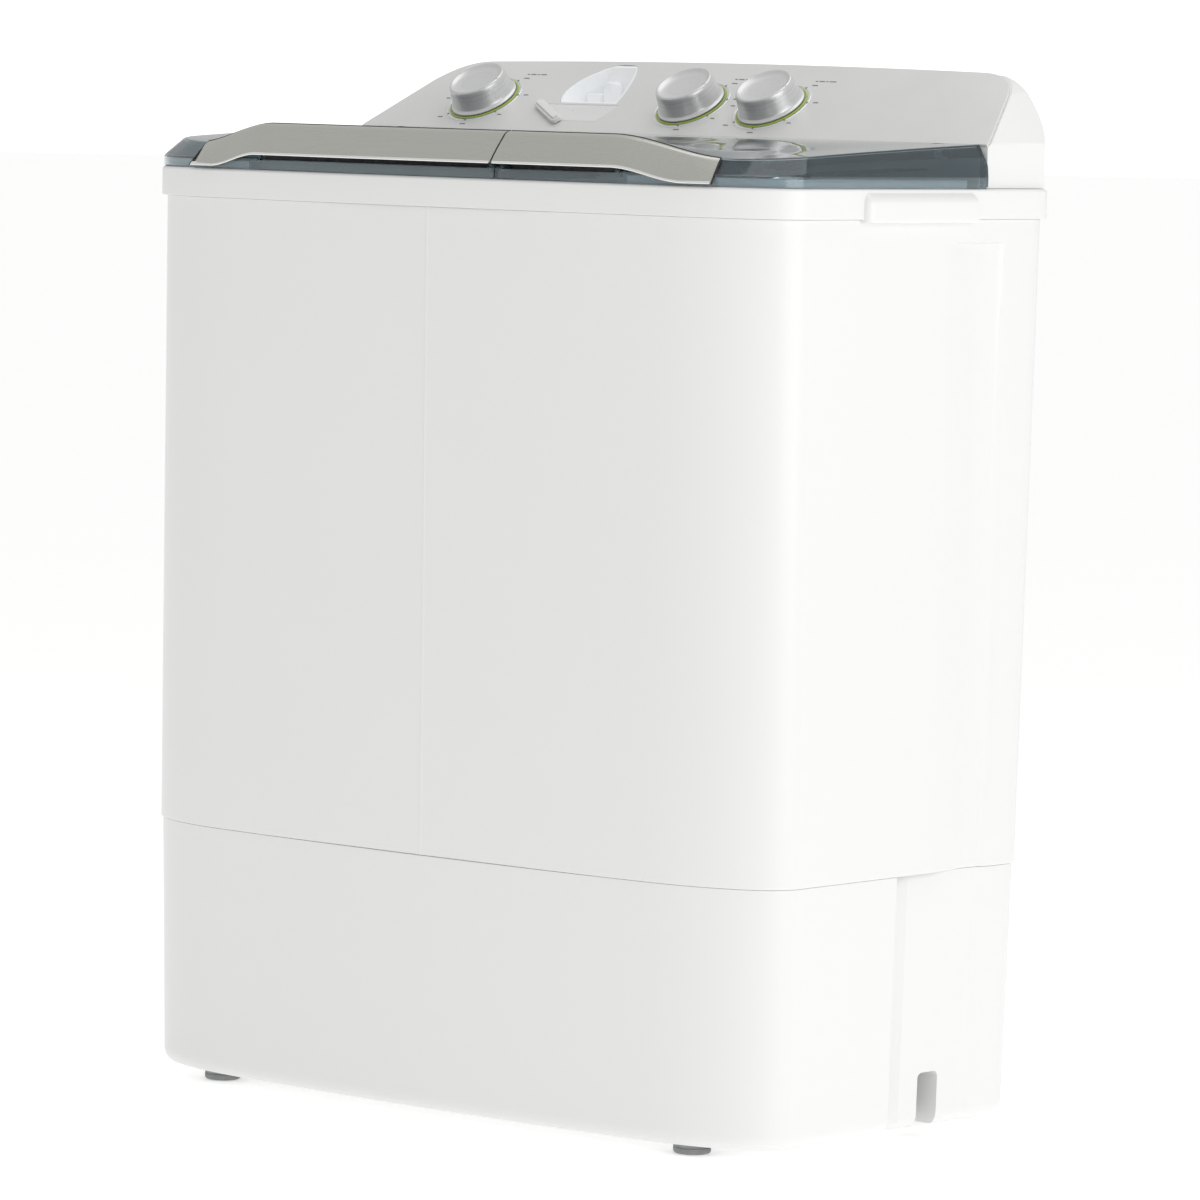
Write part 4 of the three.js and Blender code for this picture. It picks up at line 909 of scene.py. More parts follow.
def knob(name, x):
    h = KNOB_TOP
    profile = [
        (0, 1.8), (33.4, 1.8), (34, 2.1), (34, 2.9), (33.7, 3.3), (32.2, 4.2), (31.4, 5.6), (31.0, 8.0),
        (30.5, 12.0), (30.0, 16.0), (29.6, 19.5), (29.2, h - 3), (28.7, h - 1.3), (28.0, h - 0.4), (27.2, h),
        (26.5, h), (25.8, h - 0.4), (24.6, h - 1.7), (22.4, h - 2.6), (18, h - 3.2), (10, h - 3.6),
        (0, h - 3.8),
    ]
    place = knob_place(x)
    body = lathe(f"turn_{name}", profile, 0, 0, 144, place)
    stem = lathe("stem", [(0, -19), (3.8, -19), (4.2, -18.6), (4.2, 2.4), (0, 2.4)], 0, 0, 40, place)
    mark = [
        [(px, py, z) for px, py in rounded(24.4 + g, 28.2 - g, -0.8 + g, 0.8 - g, 0.7 - g)]
        for z, g in ((h - 2.6, 0), (h + 0.15, 0), (h + 0.3, 0.25))
    ]
    return boolean(body, [stem, loft("mark", mark, place=place)], "UNION")


def dial_ring(name, x):
    """The green ring round a knob."""
    profile = [(34.6, 0.3), (36.3, 0.3), (36.5, 0.5), (36.3, 0.9), (35.9, 1.2), (35.2, 1.3), (34.6, 1.2)]
    profile.append(profile[0])
    return lathe(f"green_{name}", profile, 0, 0, 120, knob_place(x))


def dial_rim(name, x):
    """The thin silver ring round the green one."""
    profile = [(38.0, 0.05), (40.2, 0.05), (40.2, 0.35), (39.7, 0.7), (38.6, 0.7), (38.0, 0.35), (38.0, 0.05)]
    return lathe(f"rim_{name}", profile, 0, 0, 120, knob_place(x))


# The marks round each dial, in degrees from the panel's right.
DIALS = {
    "wash_timer": (60, 12, -36, -84, -132, 180),
    "selector": (60, 15, -30, -75),
    "spin_timer": (60, 12, -36, -84, -132, 180),
}


def stroke(start, length, s, width, radius):
    """A short printed line across the panel."""
    return prism("stroke", rounded(start, start + length, s, s + width, radius, 4), 0.03, 0.22, PANEL)


def dial_marks(name, x):
    """Dots on the dial's rim with a short stroke beside each, and a broken line above in place of a title."""
    parts = []
    for index, degrees in enumerate(DIALS[name]):
        angle = math.radians(degrees)
        dx, dy = math.cos(angle), math.sin(angle)
        dot = [(0, 0.72), (1.15, 0.72), (1.1, 0.95), (0.75, 1.15), (0, 1.25)]
        spot = Matrix.Translation((x + DOT_RADIUS * dx, KNOB_S + DOT_RADIUS * dy, 0))
        parts.append(lathe("dot", dot, 0, 0, 20, PANEL @ spot))
        length = 7.0 - 0.8 * (index % 3)
        before = length if dx < -0.3 else 0 if dx > 0.3 else length / 2
        start, s = x + STROKE_RADIUS * dx - before, KNOB_S + STROKE_RADIUS * dy
        parts.append(stroke(start, length, s - 0.7, 1.4, 0.65))
    start = x + 22
    for length in (3, 7, 2.6, 8):
        parts.append(stroke(start, length, KNOB_S + 46, 1.3, 0.6))
        start += length + 1.6
    return join(f"marks_{name}", parts)


for dial, knob_x in KNOB_X.items():
    body = f"{dial}_knob"
    piece(knob(dial, knob_x), body, knob_metal, "knob_silver", f"knob_{dial}")
    piece(dial_ring(dial, knob_x), "cabinet", green, "dial_green", f"dial_ring_{dial}")
    piece(dial_rim(dial, knob_x), "cabinet", rim_silver, "knob_silver")
    piece(dial_marks(dial, knob_x), "cabinet", ink, "black_enamel")

# ---------------------------------------------------------------- lid handles
HALF = WIDTH / 2
RIM_CORNER_X = HALF - CORNER_X


def rim_bow(x):
    """The rim's front edge between its corners, and its slope there."""
    return -DEPTH / 2 + BOW * (x / HALF) ** 2, 2 * BOW * x / HALF**2


def rim_front(x):
    """Front of the rim at a place along it, and the way inwards from there."""
    y, slope = rim_bow(x)
    if abs(x) > RIM_CORNER_X:
        start, lean = rim_bow(RIM_CORNER_X)
        corner = (
            Vector((RIM_CORNER_X, start)),
            Vector((RIM_CORNER_X + QUARTER * CORNER_X, start + QUARTER * CORNER_X * lean)),
            Vector((HALF, start + CORNER_Y * (1 - QUARTER))),
            Vector((HALF, start + CORNER_Y)),
        )
        share = found(lambda t: Vector(bezier_at(*corner, t)).x, abs(x))
        here, ahead = Vector(bezier_at(*corner, share)), Vector(bezier_at(*corner, share + 1e-4))
        y, slope = here.y, math.copysign((ahead - here).y / (ahead - here).x, x)
    return Vector((x, y)), Vector((-slope, 1)).normalized()


# Lip, shoulder and rear edge of a strip's cross-section: how far behind the rim's front, and how high.
STRIP_RAISED = ((-5.4, 899.0), (17.5, 928.0), (24.0, 928.0))
STRIP_LOW = ((-4.6, 887.0), (14.5, 907.2), (17.6, 908.9))
STRIPS = {
    "wash_lid": {"x0": -312.0, "x1": SPLIT_X - 1, "lip": (-218.0, -282.0), "back": (-222.0, -320.0)},
    "spin_lid": {"x0": SPLIT_X + 1, "x1": 330.0, "lip": (224.0, 304.0), "back": (207.0, 345.0)},
}
STRIP_THICKNESS = 2.4


def dip_at(span, x):
    """How far a strip has dipped at x, eased in and out over a span that may run either way."""
    share = ramp(x, span[0], span[1] - span[0])
    return share * share * (3 - 2 * share)


def strip_section(lid, x):
    """Lip, shoulder and rear edge where the strip stands at x along the rim."""
    dips = [dip_at(STRIPS[lid][which], x) for which in ("lip", "back", "back")]
    return [Vector(a).lerp(Vector(b), dip) for a, b, dip in zip(STRIP_RAISED, STRIP_LOW, dips)]


def on_rim(x, back, z):
    """A point this far behind the rim's front, square to it."""
    front, inward = rim_front(x)
    at = front + inward * back
    return Vector((at.x, at.y, z))


def strip_profile(lid, x, grow):
    """The whole cross-section, with a rounded lip and shoulder."""
    lip, shoulder, rear = strip_section(lid, x)
    rise, back = (shoulder - lip).normalized(), (rear - shoulder).normalized()
    reach = min((rear - shoulder).length, 9.0) * 0.8
    a, b = shoulder - rise * reach, shoulder + back * reach
    shares = [i / 6 for i in range(7)]
    top = [lip.lerp(a, t) + Vector((-rise.y, rise.x)) * 0.5 * math.sin(math.pi * t) for t in shares]
    top += [a * (1 - t) ** 2 + shoulder * 2 * t * (1 - t) + b * t * t for t in shares[1:]]
    top.append(rear)
    under = [
        rear + Vector((0, -STRIP_THICKNESS)),
        shoulder + Vector((2.0, -STRIP_THICKNESS - 0.4)),
        lip + Vector((3.0, 0.6)),
        lip + Vector((1.4, -0.2)),
    ]
    return top + [point + Vector((grow, -grow)) for point in under]


def along_strip(lid, short=0.0):
    """Places along a strip, from and to this far short of its ends."""
    steps = 120
    x0, x1 = STRIPS[lid]["x0"] + short, STRIPS[lid]["x1"] - short
    return [x0 + (x1 - x0) * i / steps for i in range(steps + 1)]


def handle_strip(name, lid, grow=0.0):
    """The strip; the left end of the wash lid's has a rounded lip."""
    rings = []
    for x in along_strip(lid):
        ring = strip_profile(lid, x, grow)
        if lid == "wash_lid" and not grow:
            rounding = max(1 - (x - STRIPS[lid]["x0"]) / 9.0, 0.0) ** 2 * 5.0
            for i in range(6):
                ring[i].x += rounding * (1 - i / 6)
        rings.append([tuple(on_rim(x, *point)) for point in ring])
    return loft(name, rings)


def handle_lip(name, lid):
    """The bright fold along the strip's front edge, deeper where the strip of the spin lid dips."""
    rings = []
    for x in along_strip(lid, 1.0):
        lip, shoulder, _ = strip_section(lid, x)
        rise = (shoulder - lip).normalized()
        out = Vector((-rise.y, rise.x))
        tall = 2.6 + (5.2 * dip_at(STRIPS[lid]["lip"], x) if lid == "spin_lid" else 0.0)
        foot = lip + Vector((0.9, 0.0)) - rise * 0.2
        head = foot + rise * (tall + 0.2)
        ring = [
            corner + (out * math.cos(angle) + rise * math.sin(angle)) * 0.8
            for corner, start in ((foot, -math.pi / 2), (head, 0))
            for angle in [start + math.pi / 2 * i / 6 for i in range(7)]
        ]
        rings.append([tuple(on_rim(x, *point)) for point in (*ring, head - out * 0.6, foot - out * 0.6)])
    return loft(name, rings)


def handle_gasket(name, lid):
    """The dark bead between the strip and the lid, along the rear edge and round the outer end."""
    stations = along_strip(lid)
    if lid == "wash_lid":
        stations.reverse()
    rear = [on_rim(x, *(strip_section(lid, x)[2] + Vector((0.7, -0.1)))) for x in stations]
    end = stations[-1] + (0.7 if lid == "spin_lid" else -0.7)
    lip, shoulder, _ = strip_section(lid, end)
    down = [on_rim(end, *(shoulder.lerp(lip, i / 8) + Vector((0.6, -0.6)))) for i in range(9)]
    return tube(name, rear + down, 0.9, 10)


for lid in STRIPS:
    strip = handle_strip(f"{lid}_strip", lid)
    piece(strip, lid, handle_metal, "handle_brushed", f"{lid}_handle", angle=40)
    piece(handle_lip(f"{lid}_strip_lip", lid), lid, lip_metal, "handle_brushed")
    piece(handle_gasket(f"{lid}_strip_gasket", lid), lid, rubber, "black_rubber", angle=60)

# ---------------------------------------------------------------- lids
LID_INSET, LID_WALL = 1.6, 3.0
LID_FRONT_Y = -187.0
LID_CORNER_Z = 908.0
SKIRT_Z = 894.0
SHOULDER_Z = (894.6, 905.5)
POCKET_Y, POCKET_Z0, POCKET_Z1 = -209.0, 893.0, 921.0
LID_SPAN = {"wash_lid": (-400.0, SPLIT_X - 0.6), "spin_lid": (SPLIT_X + 0.6, 400.0)}
DISHES = ((-110, -103, 168, 84), (205, -103, 102, 84))
DISH_DEPTH = 3.4


def rearward(y):
    """0 at the front of the lids' top and 1 at the rear, rising fastest at the front."""
    return ramp(y, LID_FRONT_Y, LID_REAR_Y - LID_FRONT_Y) ** 0.75


def lid_top(x, y):
    """Height of the lids' top: level behind a raised grip, lower towards the front corners, and dished."""
    dip = dip_at(STRIPS["wash_lid" if x < SPLIT_X else "spin_lid"]["back"], x)
    front = LID_Z + (LID_CORNER_Z - LID_Z) * dip
    z = front + (LID_Z - front) * rearward(y)
    for cx, cy, rx, ry in DISHES:
        reach = ((x - cx) / rx) ** 2 + ((y - cy) / ry) ** 2
        z -= DISH_DEPTH * max(1 - reach, 0.0) ** 0.8
    return z


def lid_rings(inset, wall, foot_z):
    """Rings from the rim up the skirt and the slope and over the top, which is thinner by the wall."""
    outline = cabinet(inset)

    def top(x, y):
        return lid_top(x, y) - wall

    def shoulder(x, y):
        return SHOULDER_Z[0] + (SHOULDER_Z[1] - SHOULDER_Z[0]) * rearward(y) - wall / 2

    skirt = level(outline, SKIRT_Z - wall / 2)
    bend = level(outline, shoulder, 0.9, 1.5)
    edge = level(outline, top, 12, 17.5)
    rings = [level(outline, foot_z, 0.4, 0.4), level(outline, foot_z + 0.4), level(outline, 889.0), skirt]
    rings += softened(between(bend, skirt, 0.2), bend, between(bend, edge, 0.1), 3)
    rings += [between(bend, edge, share) for share in (0.3, 0.5, 0.7, 0.85)]
    rings += softened(between(bend, edge, 0.93), edge, level(outline, top, 13.6, 19.0, 0.6), 4)
    shares = [i / 44 for i in range(1, 45)]
    return rings + [level(outline, top, 13.6 + 366 * t, 19 + 190 * t, 0.6 + 214 * t) for t in shares]


def finger_pocket(lid, wall):
    outer = STRIPS[lid]["lip"][0]
    low, high = sorted((SPLIT_X + math.copysign(9, outer), outer))
    return block("pocket", low - wall, high + wall, -300, POCKET_Y + wall, POCKET_Z0 - wall, POCKET_Z1 + wall)


def lid_shell(lid):
    x0, x1 = LID_SPAN[lid]
    obj = loft(f"{lid}_glass", lid_rings(LID_INSET, 0, RIM_Z + GAP))
    boolean(obj, [block("part", x0, x1, -300, LID_REAR_Y, RIM_Z - 10, LID_Z + 1)], "INTERSECT")
    hollow = loft("hollow", lid_rings(LID_INSET + LID_WALL, LID_WALL, RIM_Z - 5))
    left, right = (x0 if x0 < -300 else x0 + LID_WALL), (x1 if x1 > 300 else x1 - LID_WALL)
    boolean(hollow, [block("part", left, right, -300, LID_REAR_Y - LID_WALL, 0, LID_Z)], "INTERSECT")
    boolean(hollow, [finger_pocket(lid, LID_WALL)])
    slots = [block("slot", x - 6, x + 6, HINGE_Y - 8, LID_REAR_Y + 1, 0, LID_Z + 1) for x in HINGES[lid]]
    relief = block("relief", x0 + 12, x1 - 12, HINGE_Y - 3, LID_REAR_Y + 1, 0, HINGE_Z - 7)
    heel = block("heel", x0 - 1, x1 + 1, HINGE_Y, LID_REAR_Y + 1, 0, RIM_Z + 1.5)
    boolean(obj, [hollow, finger_pocket(lid, 0), *slots, relief, heel, handle_strip("room", lid, 0.5)])
    cheek = rounded(HINGE_Y - 5, LID_REAR_Y - 0.5, HINGE_Z - 5, LID_Z - 1.2, 2.5)
    sides = [x + side for x in HINGES[lid] for side in (-11, 6)]
    boolean(obj, [across("cheek", cheek, x, x + 5) for x in sides], "UNION")
    return boolean(obj, hinge_bores(HINGES[lid], 11.3))


def pocket_shade_pad(lid):
    """A black ribbed bar on the rear wall of the finger pocket: painted shade, a dark piece standing in for
    the shadow deep in the pocket.
    """
    outer = STRIPS[lid]["lip"][0]
    low, high = sorted((SPLIT_X + math.copysign(10.5, outer), outer - math.copysign(1.5, outer)))
    steps = int((high - low) / 0.9)
    rings = []
    for i in range(steps + 1):
        x = low + (high - low) * i / steps
        proud = 1.5 if i in (0, steps) else (2.0, 2.5, 2.2)[i % 3]
        lower = [(0, 893.6), (proud - 0.6, 893.6), (proud, 894.2)]
        upper = [(proud, 905.4), (proud - 0.6, 906), (0, 906)]
        rings.append([(x, POCKET_Y - GAP - out, z) for out, z in lower + upper])
    return loft(f"{lid}_pad", rings)


for lid in HINGES:
    # The black bar in each finger pocket is painted shade.
    piece(pocket_shade_pad(lid), lid, rubber, "black_rubber", angle=60)
    piece(lid_shell(lid), lid, lid_tint, "lid_tint", lid, angle=28)


def split_lens():
    """The small clear lens at the end of the split between the lids."""
    profile = [(0, -0.4), (12, -0.4), (13, 0.1), (12.6, 1.0), (10.4, 2.4), (7, 3.5), (3.5, 4.0), (0, 4.1)]
    obj = lathe("lens", profile, steps=72)
    obj.data.transform(Matrix.Diagonal((1, 0.62, 1, 1)))
    obj.matrix_world = Matrix.Translation(Vector((SPLIT_X - 14.5, -190, LID_Z - 0.4)) * MM)
    return obj


piece(split_lens(), "wash_lid", clear, "lid_tint", angle=40)

# ---------------------------------------------------------------- feet, rear cover, screws, gland
for foot in ("front_left", "front_right", "rear_left", "rear_right"):
    top = box_mm(f"foot_{foot}")[1].z
    profile = [
        (0, 0.9), (4, 0.9), (5, 0), (7, 0), (7.8, 0.8), (9.6, 0.8), (10.4, 0), (15.2, 0), (16.4, 0.5),
        (17.3, 1.7), (17.5, 3.0), (17.5, 5.2), (16.8, 5.8), (17.5, 6.4), (17.5, top), (0, top),
    ]
    pad = lathe(f"pad_{foot}", profile, *middle(f"foot_{foot}")[:2], 64)
    piece(pad, "cabinet", grey_rubber, "foot_rubber", f"foot_{foot}")


def facing_rear(node):
    """Places a piece turned about +Z so that its axis points to the rear, from the front of a CAD node."""
    x, _, z = middle(node)
    rearward_axis = Matrix(((1, 0, 0, 0), (0, 0, 1, 0), (0, -1, 0, 0), (0, 0, 0, 1)))
    return Matrix.Translation((x, box_mm(node)[0].y, z)) @ rearward_axis


def rear_cover():
    """The plate behind the drives, with four louvres and a hole for the cord's gland."""
    low, high = box_mm("rear_cover")
    place = standing(low.y + 1.5)
    obj = prism("back_plate", rounded(-high.x, high.x, low.z, high.z, 6), 0, 1.5, place)
    slots = [rounded(90, 230, 95 + 24 * i, 103 + 24 * i, 3.8) for i in range(4)]
    boolean(obj, [prism("slot", outline, -2, 4, place) for outline in (*slots, circle(9, -255, 200, 40))])
    return bevel(obj, 0.35, 2, 50)


def screw(index):
    """A round head with a cross slot."""
    head = [(0, 0), (3.7, 0), (4, 0.3), (3.9, 0.8), (3.3, 1.6), (2.2, 2.2), (0, 2.4)]
    place = facing_rear(f"rear_cover_screw_{index}")
    obj = lathe(f"screw_{index}", head, 0, 0, 40, place)
    return boolean(obj, [block("slot", -x, x, -y, y, 1.3, 4, place) for x, y in ((2.4, 0.5), (0.5, 2.4))])


piece(rear_cover(), "cabinet", zinc, "zinc_steel", "rear_cover")
for index in range(1, 5):
    piece(screw(index), "cabinet", steel, "steel", f"rear_cover_screw_{index}")
gland_profile = [
    (4, 0), (7.8, 0), (8, 0.3), (8, 4.6), (10.6, 5), (11, 5.5), (10.8, 7), (9.6, 7.6), (10.2, 8.6), (9, 11),
    (4.6, 11), (4, 10.4), (4, 0),
]
gland = lathe("inlet_bush", gland_profile, 0, 0, 64, facing_rear("cord_inlet_gland"))
piece(gland, "cabinet", rubber, "black_rubber", "cord_inlet_gland")

# ---------------------------------------------------------------- tubs and the spin basket
TUB_FLOOR_Z, TUB_TOP_Z = heights_of("wash_tub")
TUB_WALL = 3.0
VALVE = (5.0, 52.0)


def wash_tub():
    """The wash tub: narrower towards its rounded foot, with holes for the drain and the pulsator's shaft."""

    def ring(inset, z, side, front):
        return level(wash_mouth(inset - 4), z, side, front, front)

    depth = TUB_TOP_Z - TUB_FLOOR_Z
    wall = [(0, 30, 22), (4, 24.5, 17.6), (10, 19.4, 13.4), (20, 15, 10), (60, 13.6, 9)]
    wall += [(depth - 10, 0.4, 0.3), (depth, 0, 0)]
    outer = [ring(0, TUB_FLOOR_Z + z, *insets) for z, *insets in wall]
    raised = [(z + TUB_WALL if z < depth / 2 else z, insets) for z, *insets in reversed(wall)]
    obj = loft("wash_basin", outer + [ring(TUB_WALL, TUB_FLOOR_Z + z, *insets) for z, insets in raised])
    holes = [circle(15, *VALVE, 40), circle(14, *WASH, 40)]
    boolean(obj, [prism("hole", outline, TUB_FLOOR_Z - 5, TUB_FLOOR_Z + 20) for outline in holes])
    return bevel(obj, 0.6, 2, 60)


piece(wash_tub(), "cabinet", tub_white, "tub_white", "wash_tub")


def pulsator():
    """A low disc that rises to a hub, with four curved fins."""
    z = TUB_FLOOR_Z + 6
    section = [
        (0, 0), (115, 0), (116, 1), (116, 3.4), (114.6, 5.6), (110, 8), (96, 8.4), (60, 9), (46, 11.4),
        (36, 15.5), (31, 20), (27.5, 24.5), (22, 27.6), (12, 29.4), (0, 30),
    ]
    disc = lathe("agitator", raised_by(z, section), *WASH, 120)
    fins = []
    for i in range(4):
        turn = Matrix.Translation((WASH.x, WASH.y, 0)) @ Matrix.Rotation(i * math.pi / 2, 4, "Z")
        rings = []
        for height, g in ((2, 0), (12, 0.2), (17, 1.0), (20, 2.6), (21.6, 4.6)):
            outline = rounded(20 + g, 108 - g * 1.6, -5 + g, 5 - g, 4.8 - g if g < 4.5 else 0.3)
            rings.append([(x, y + 9 * math.sin(math.pi * (x - 20) / 88), z + height) for x, y in outline])
        fins.append(loft("fin", rings, place=turn))
    return boolean(disc, fins, "UNION")


piece(pulsator(), "pulsator", pale_blue, "pale_blue_plastic", "pulsator", angle=40)


def overflow_cover():
    """The slotted cover on the wash tub's rear wall."""
    low, high = box_mm("overflow_cover")
    place = standing(high.y)
    rings = [
        [(x, z, out) for x, z in rounded(low.x + g, high.x - g, low.z + g, high.z - g, 10 - g)]
        for out, g in ((0, 0), (3.2, 0), (4.4, 0.5), (5, 1.6))
    ]
    x = middle("overflow_cover")[0]
    slots = [rounded(x - 22, x + 22, 500 + 30 * i, 508 + 30 * i, 3.8) for i in range(8)]
    obj = loft("lint_cover", rings, place=place)
    return boolean(obj, [prism("slot", outline, -1, 8, place) for outline in slots])


piece(overflow_cover(), "cabinet", pale_blue, "pale_blue_plastic", "overflow_cover", angle=40)


def spin_tub():
    """The tub that the basket spins in, open round its shaft."""
    foot = [(26, 0), (125, 0), (131, 2), (136, 8)]
    rim = [
        (138.6, -10), (139.6, -5), (141.4, -4), (144.4, -4), (145, -3.4), (145, -0.5), (144.5, 0), (136, 0),
        (135, -1),
    ]
    inside = [(132, 11), (129.6, 6.4), (125, 4), (26, 4), (26, 0)]
    z0 = box_mm("spin_outer_tub")[0].z
    profile = raised_by(z0, foot) + raised_by(TUB_TOP_Z, rim) + raised_by(z0, inside)
    return lathe("spin_basin", profile, *SPIN, 120)


piece(spin_tub(), "cabinet", tub_white, "tub_white", "spin_outer_tub", angle=40)


def spin_basket():
    """The perforated basket, with a rolled rim and a raised hub."""
    z0, z1 = heights_of("spin_basket")
    outside = [(0, 0), (30, 0), (34, 6), (107, 6), (112, 8.6), (115, 14), (116.3, 110), (117.6, 240)]
    rim = [
        (119, -14), (121.2, -11), (122, -9), (122, -1), (121, 0), (108, 0), (107, -0.8), (107, -3),
        (113, -4.4), (116.5, -8),
    ]
    inside = [(115.2, 240), (113.8, 110), (112.5, 15), (110, 11), (106, 9), (40, 9)]
    hub = [(35, 13), (32, 23), (30, 26), (0, 26)]
    profile = raised_by(z0, outside) + raised_by(z1, rim) + raised_by(z0, inside + hub)
    obj = lathe("spinner", profile, *SPIN, 132)
    drills = []
    for row in range(9):
        for i in range(12):
            angle = (i + row % 2 / 2) * math.pi / 6
            turn = Matrix.Translation((*SPIN, z0 + 46 + 34 * row)) @ Matrix.Rotation(angle, 4, "Z")
            rings = [[(x, a, b) for a, b in circle(3.4, steps=14)] for x in (104, 128)]
            drills.append(loft("drill", rings, place=turn))
    return boolean(obj, [join("drills", drills)])


piece(spin_basket(), "spin_basket", pale_blue, "pale_blue_plastic", "spin_basket", angle=40)


def press_plate():
    """The plate that holds the washing down: a shallow cone with three rings of holes."""
    z = heights_of("basket_press_plate")[0]
    section = [(0, 0), (95, 0), (97, 0.8), (97, 3.2), (95.6, 4), (12, 9.8), (0, 10)]
    obj = lathe("press_disc", raised_by(z, section), *SPIN, 100)
    holes = []
    for reach, count, size, first in ((40, 6, 6, 0.5), (62, 6, 11, 0), (82, 12, 5, 0)):
        for i in range(count):
            angle = (i + first) * 2 * math.pi / count
            centre = SPIN + Vector((math.cos(angle), math.sin(angle))) * reach
            holes.append(prism("hole", circle(size, *centre, 28), z - 5, z + 15))
    return boolean(obj, [join("holes", holes)])


piece(press_plate(), "spin_basket", pale_blue, "pale_blue_plastic", "basket_press_plate", angle=40)

# ---------------------------------------------------------------- turned parts of the two drives
PULLEY_Z0 = heights_of("driven_pulley")[0]
PULLEY_Z1 = PULLEY_Z0 + 18
BIG_PULLEY, SMALL_PULLEY = 88, 29  # radius of the belt's seat
WASH_MOTOR = Vector(middle("wash_motor")[:2])


def turned(cad_node, name, body, material, slot, profile, steps, axis=None, angle=40):
    """A turned piece that stands for a CAD node, about the middle of that node unless an axis is given."""
    obj = lathe(name, profile, *(axis or middle(cad_node)[:2]), steps)
    return piece(obj, body, material, slot, cad_node, angle=angle)


def pulley_profile(radius, shaft, shaft_top):
    """Half of a pulley's section: two flanges, the belt's seat between them, and the shaft above."""
    edge = radius + 7
    flange = [(0, 0), (edge - 0.6, 0), (edge, 0.6), (edge, 2.4), (edge - 0.8, 3.1), (radius, 3.6)]
    upper = [(r, -z) for r, z in reversed(flange[1:])]
    top = [(shaft + 9, 0), (shaft + 3, 0), (shaft, 0.1)]
    end = [(shaft, -1), (shaft - 1, 0), (0, 0)]
    return raised_by(PULLEY_Z0, flange) + raised_by(PULLEY_Z1, upper + top) + raised_by(shaft_top, end)


def driven_pulley():
    """The large pulley, with four round windows."""
    profile = pulley_profile(BIG_PULLEY, 8, heights_of("driven_pulley")[1])
    obj = lathe("drive_wheel", profile, *WASH, 120)
    windows = []
    for i in range(4):
        angle = (i + 0.5) * math.pi / 2
        centre = (WASH.x + 48 * math.cos(angle), WASH.y + 48 * math.sin(angle))
        windows.append(prism("window", circle(20, *centre, 40), PULLEY_Z0 - 5, PULLEY_Z1 + 5))
    return boolean(obj, windows)


def motor(cad_node, name, radius, centre):
    """A motor's pressed end bells, with a laminated band between them."""
    z0, z1 = heights_of(cad_node)
    bell = [(10, 0), (radius - 14, 0), (radius - 7, 3), (radius - 4, 8)]
    bands = 14
    side = [(radius, z0 + 22)]
    for i in range(1, bands):
        z = z0 + 22 + (z1 - z0 - 44) * i / bands
        side += [(radius, z - 0.4), (radius - 0.5, z), (radius, z + 0.4)]
    side.append((radius, z1 - 22))
    upper = [(r, -z) for r, z in reversed(bell)]
    profile = raised_by(z0, bell) + side + raised_by(z1, upper) + [(10, z0)]
    return lathe(name, profile, *centre, 96)


def flanged_motor():
    """The spin motor, with the flange that its rubber mounts carry."""
    flange = [(11, 112), (87.4, 112), (88, 112.6), (88, 115.4), (87.4, 116), (11, 116), (11, 112)]
    obj = motor("spin_motor", "spin_drive_motor", 66, SPIN)
    return boolean(obj, [lathe("flange", flange, *SPIN, 96)], "UNION")


def damper_profile(index):
    """A ribbed rubber mount."""
    z0, z1 = heights_of(f"spin_motor_mount_{index}")
    profile = raised_by(z0, [(0, 0), (19.4, 0), (20, 0.6), (20, 8), (16, 14)])
    for k in range(5):
        profile += raised_by(z0 + 18 + 12 * k, [(13, 0), (13, 4), (14.6, 6), (14.6, 8), (13, 10)])
    return profile + [(13, 92), (16, 99), (18, 104), (18, z1 - 0.5), (17.5, z1), (0, z1)]


small_profile = pulley_profile(SMALL_PULLEY, 9, heights_of("motor_pulley")[1])
shaft_z0, shaft_z1 = heights_of("spin_shaft")
housing = [
    (8.6, 322), (17.2, 322), (18, 322.8), (20, 330), (20, 401), (22, 406), (33, 410), (34, 411), (34, 416),
    (13, 416), (13, 431.4), (12.4, 432), (8.6, 432), (8.6, 322),
]
axle = [
    (0, shaft_z0), (6.2, shaft_z0), (7, shaft_z0 + 0.8), (7, 300), (9, 304), (9, shaft_z1 - 0.8),
    (8.2, shaft_z1), (0, shaft_z1),
]
drum = [
    (7.3, 262), (19.4, 262), (20, 262.6), (20, 272), (46, 272), (46, 262.5), (46.5, 262), (49.5, 262),
    (50, 262.5), (50, 287.2), (49.2, 288), (24, 288), (22, 286.6), (12, 286.6), (10, 288), (7.3, 288),
    (7.3, 262),
]
boot = [
    (9.5, 462), (15.6, 462), (16, 462.5), (18, 468), (25.4, 468), (25.4, 478), (23.5, 480), (22, 480.6),
    (20.6, 483.4), (18, 483.8), (16.4, 486.6), (14, 487), (12, 490), (9.5, 490), (9.5, 462),
]
can = [(0, 0), (19.4, 0), (20, 0.6), (20, 60), (19.2, 61), (20, 62), (20, 67), (18.6, 70.4), (17, 71)]
can.append((0, 71))
can = raised_by(heights_of("motor_capacitor")[0], can)

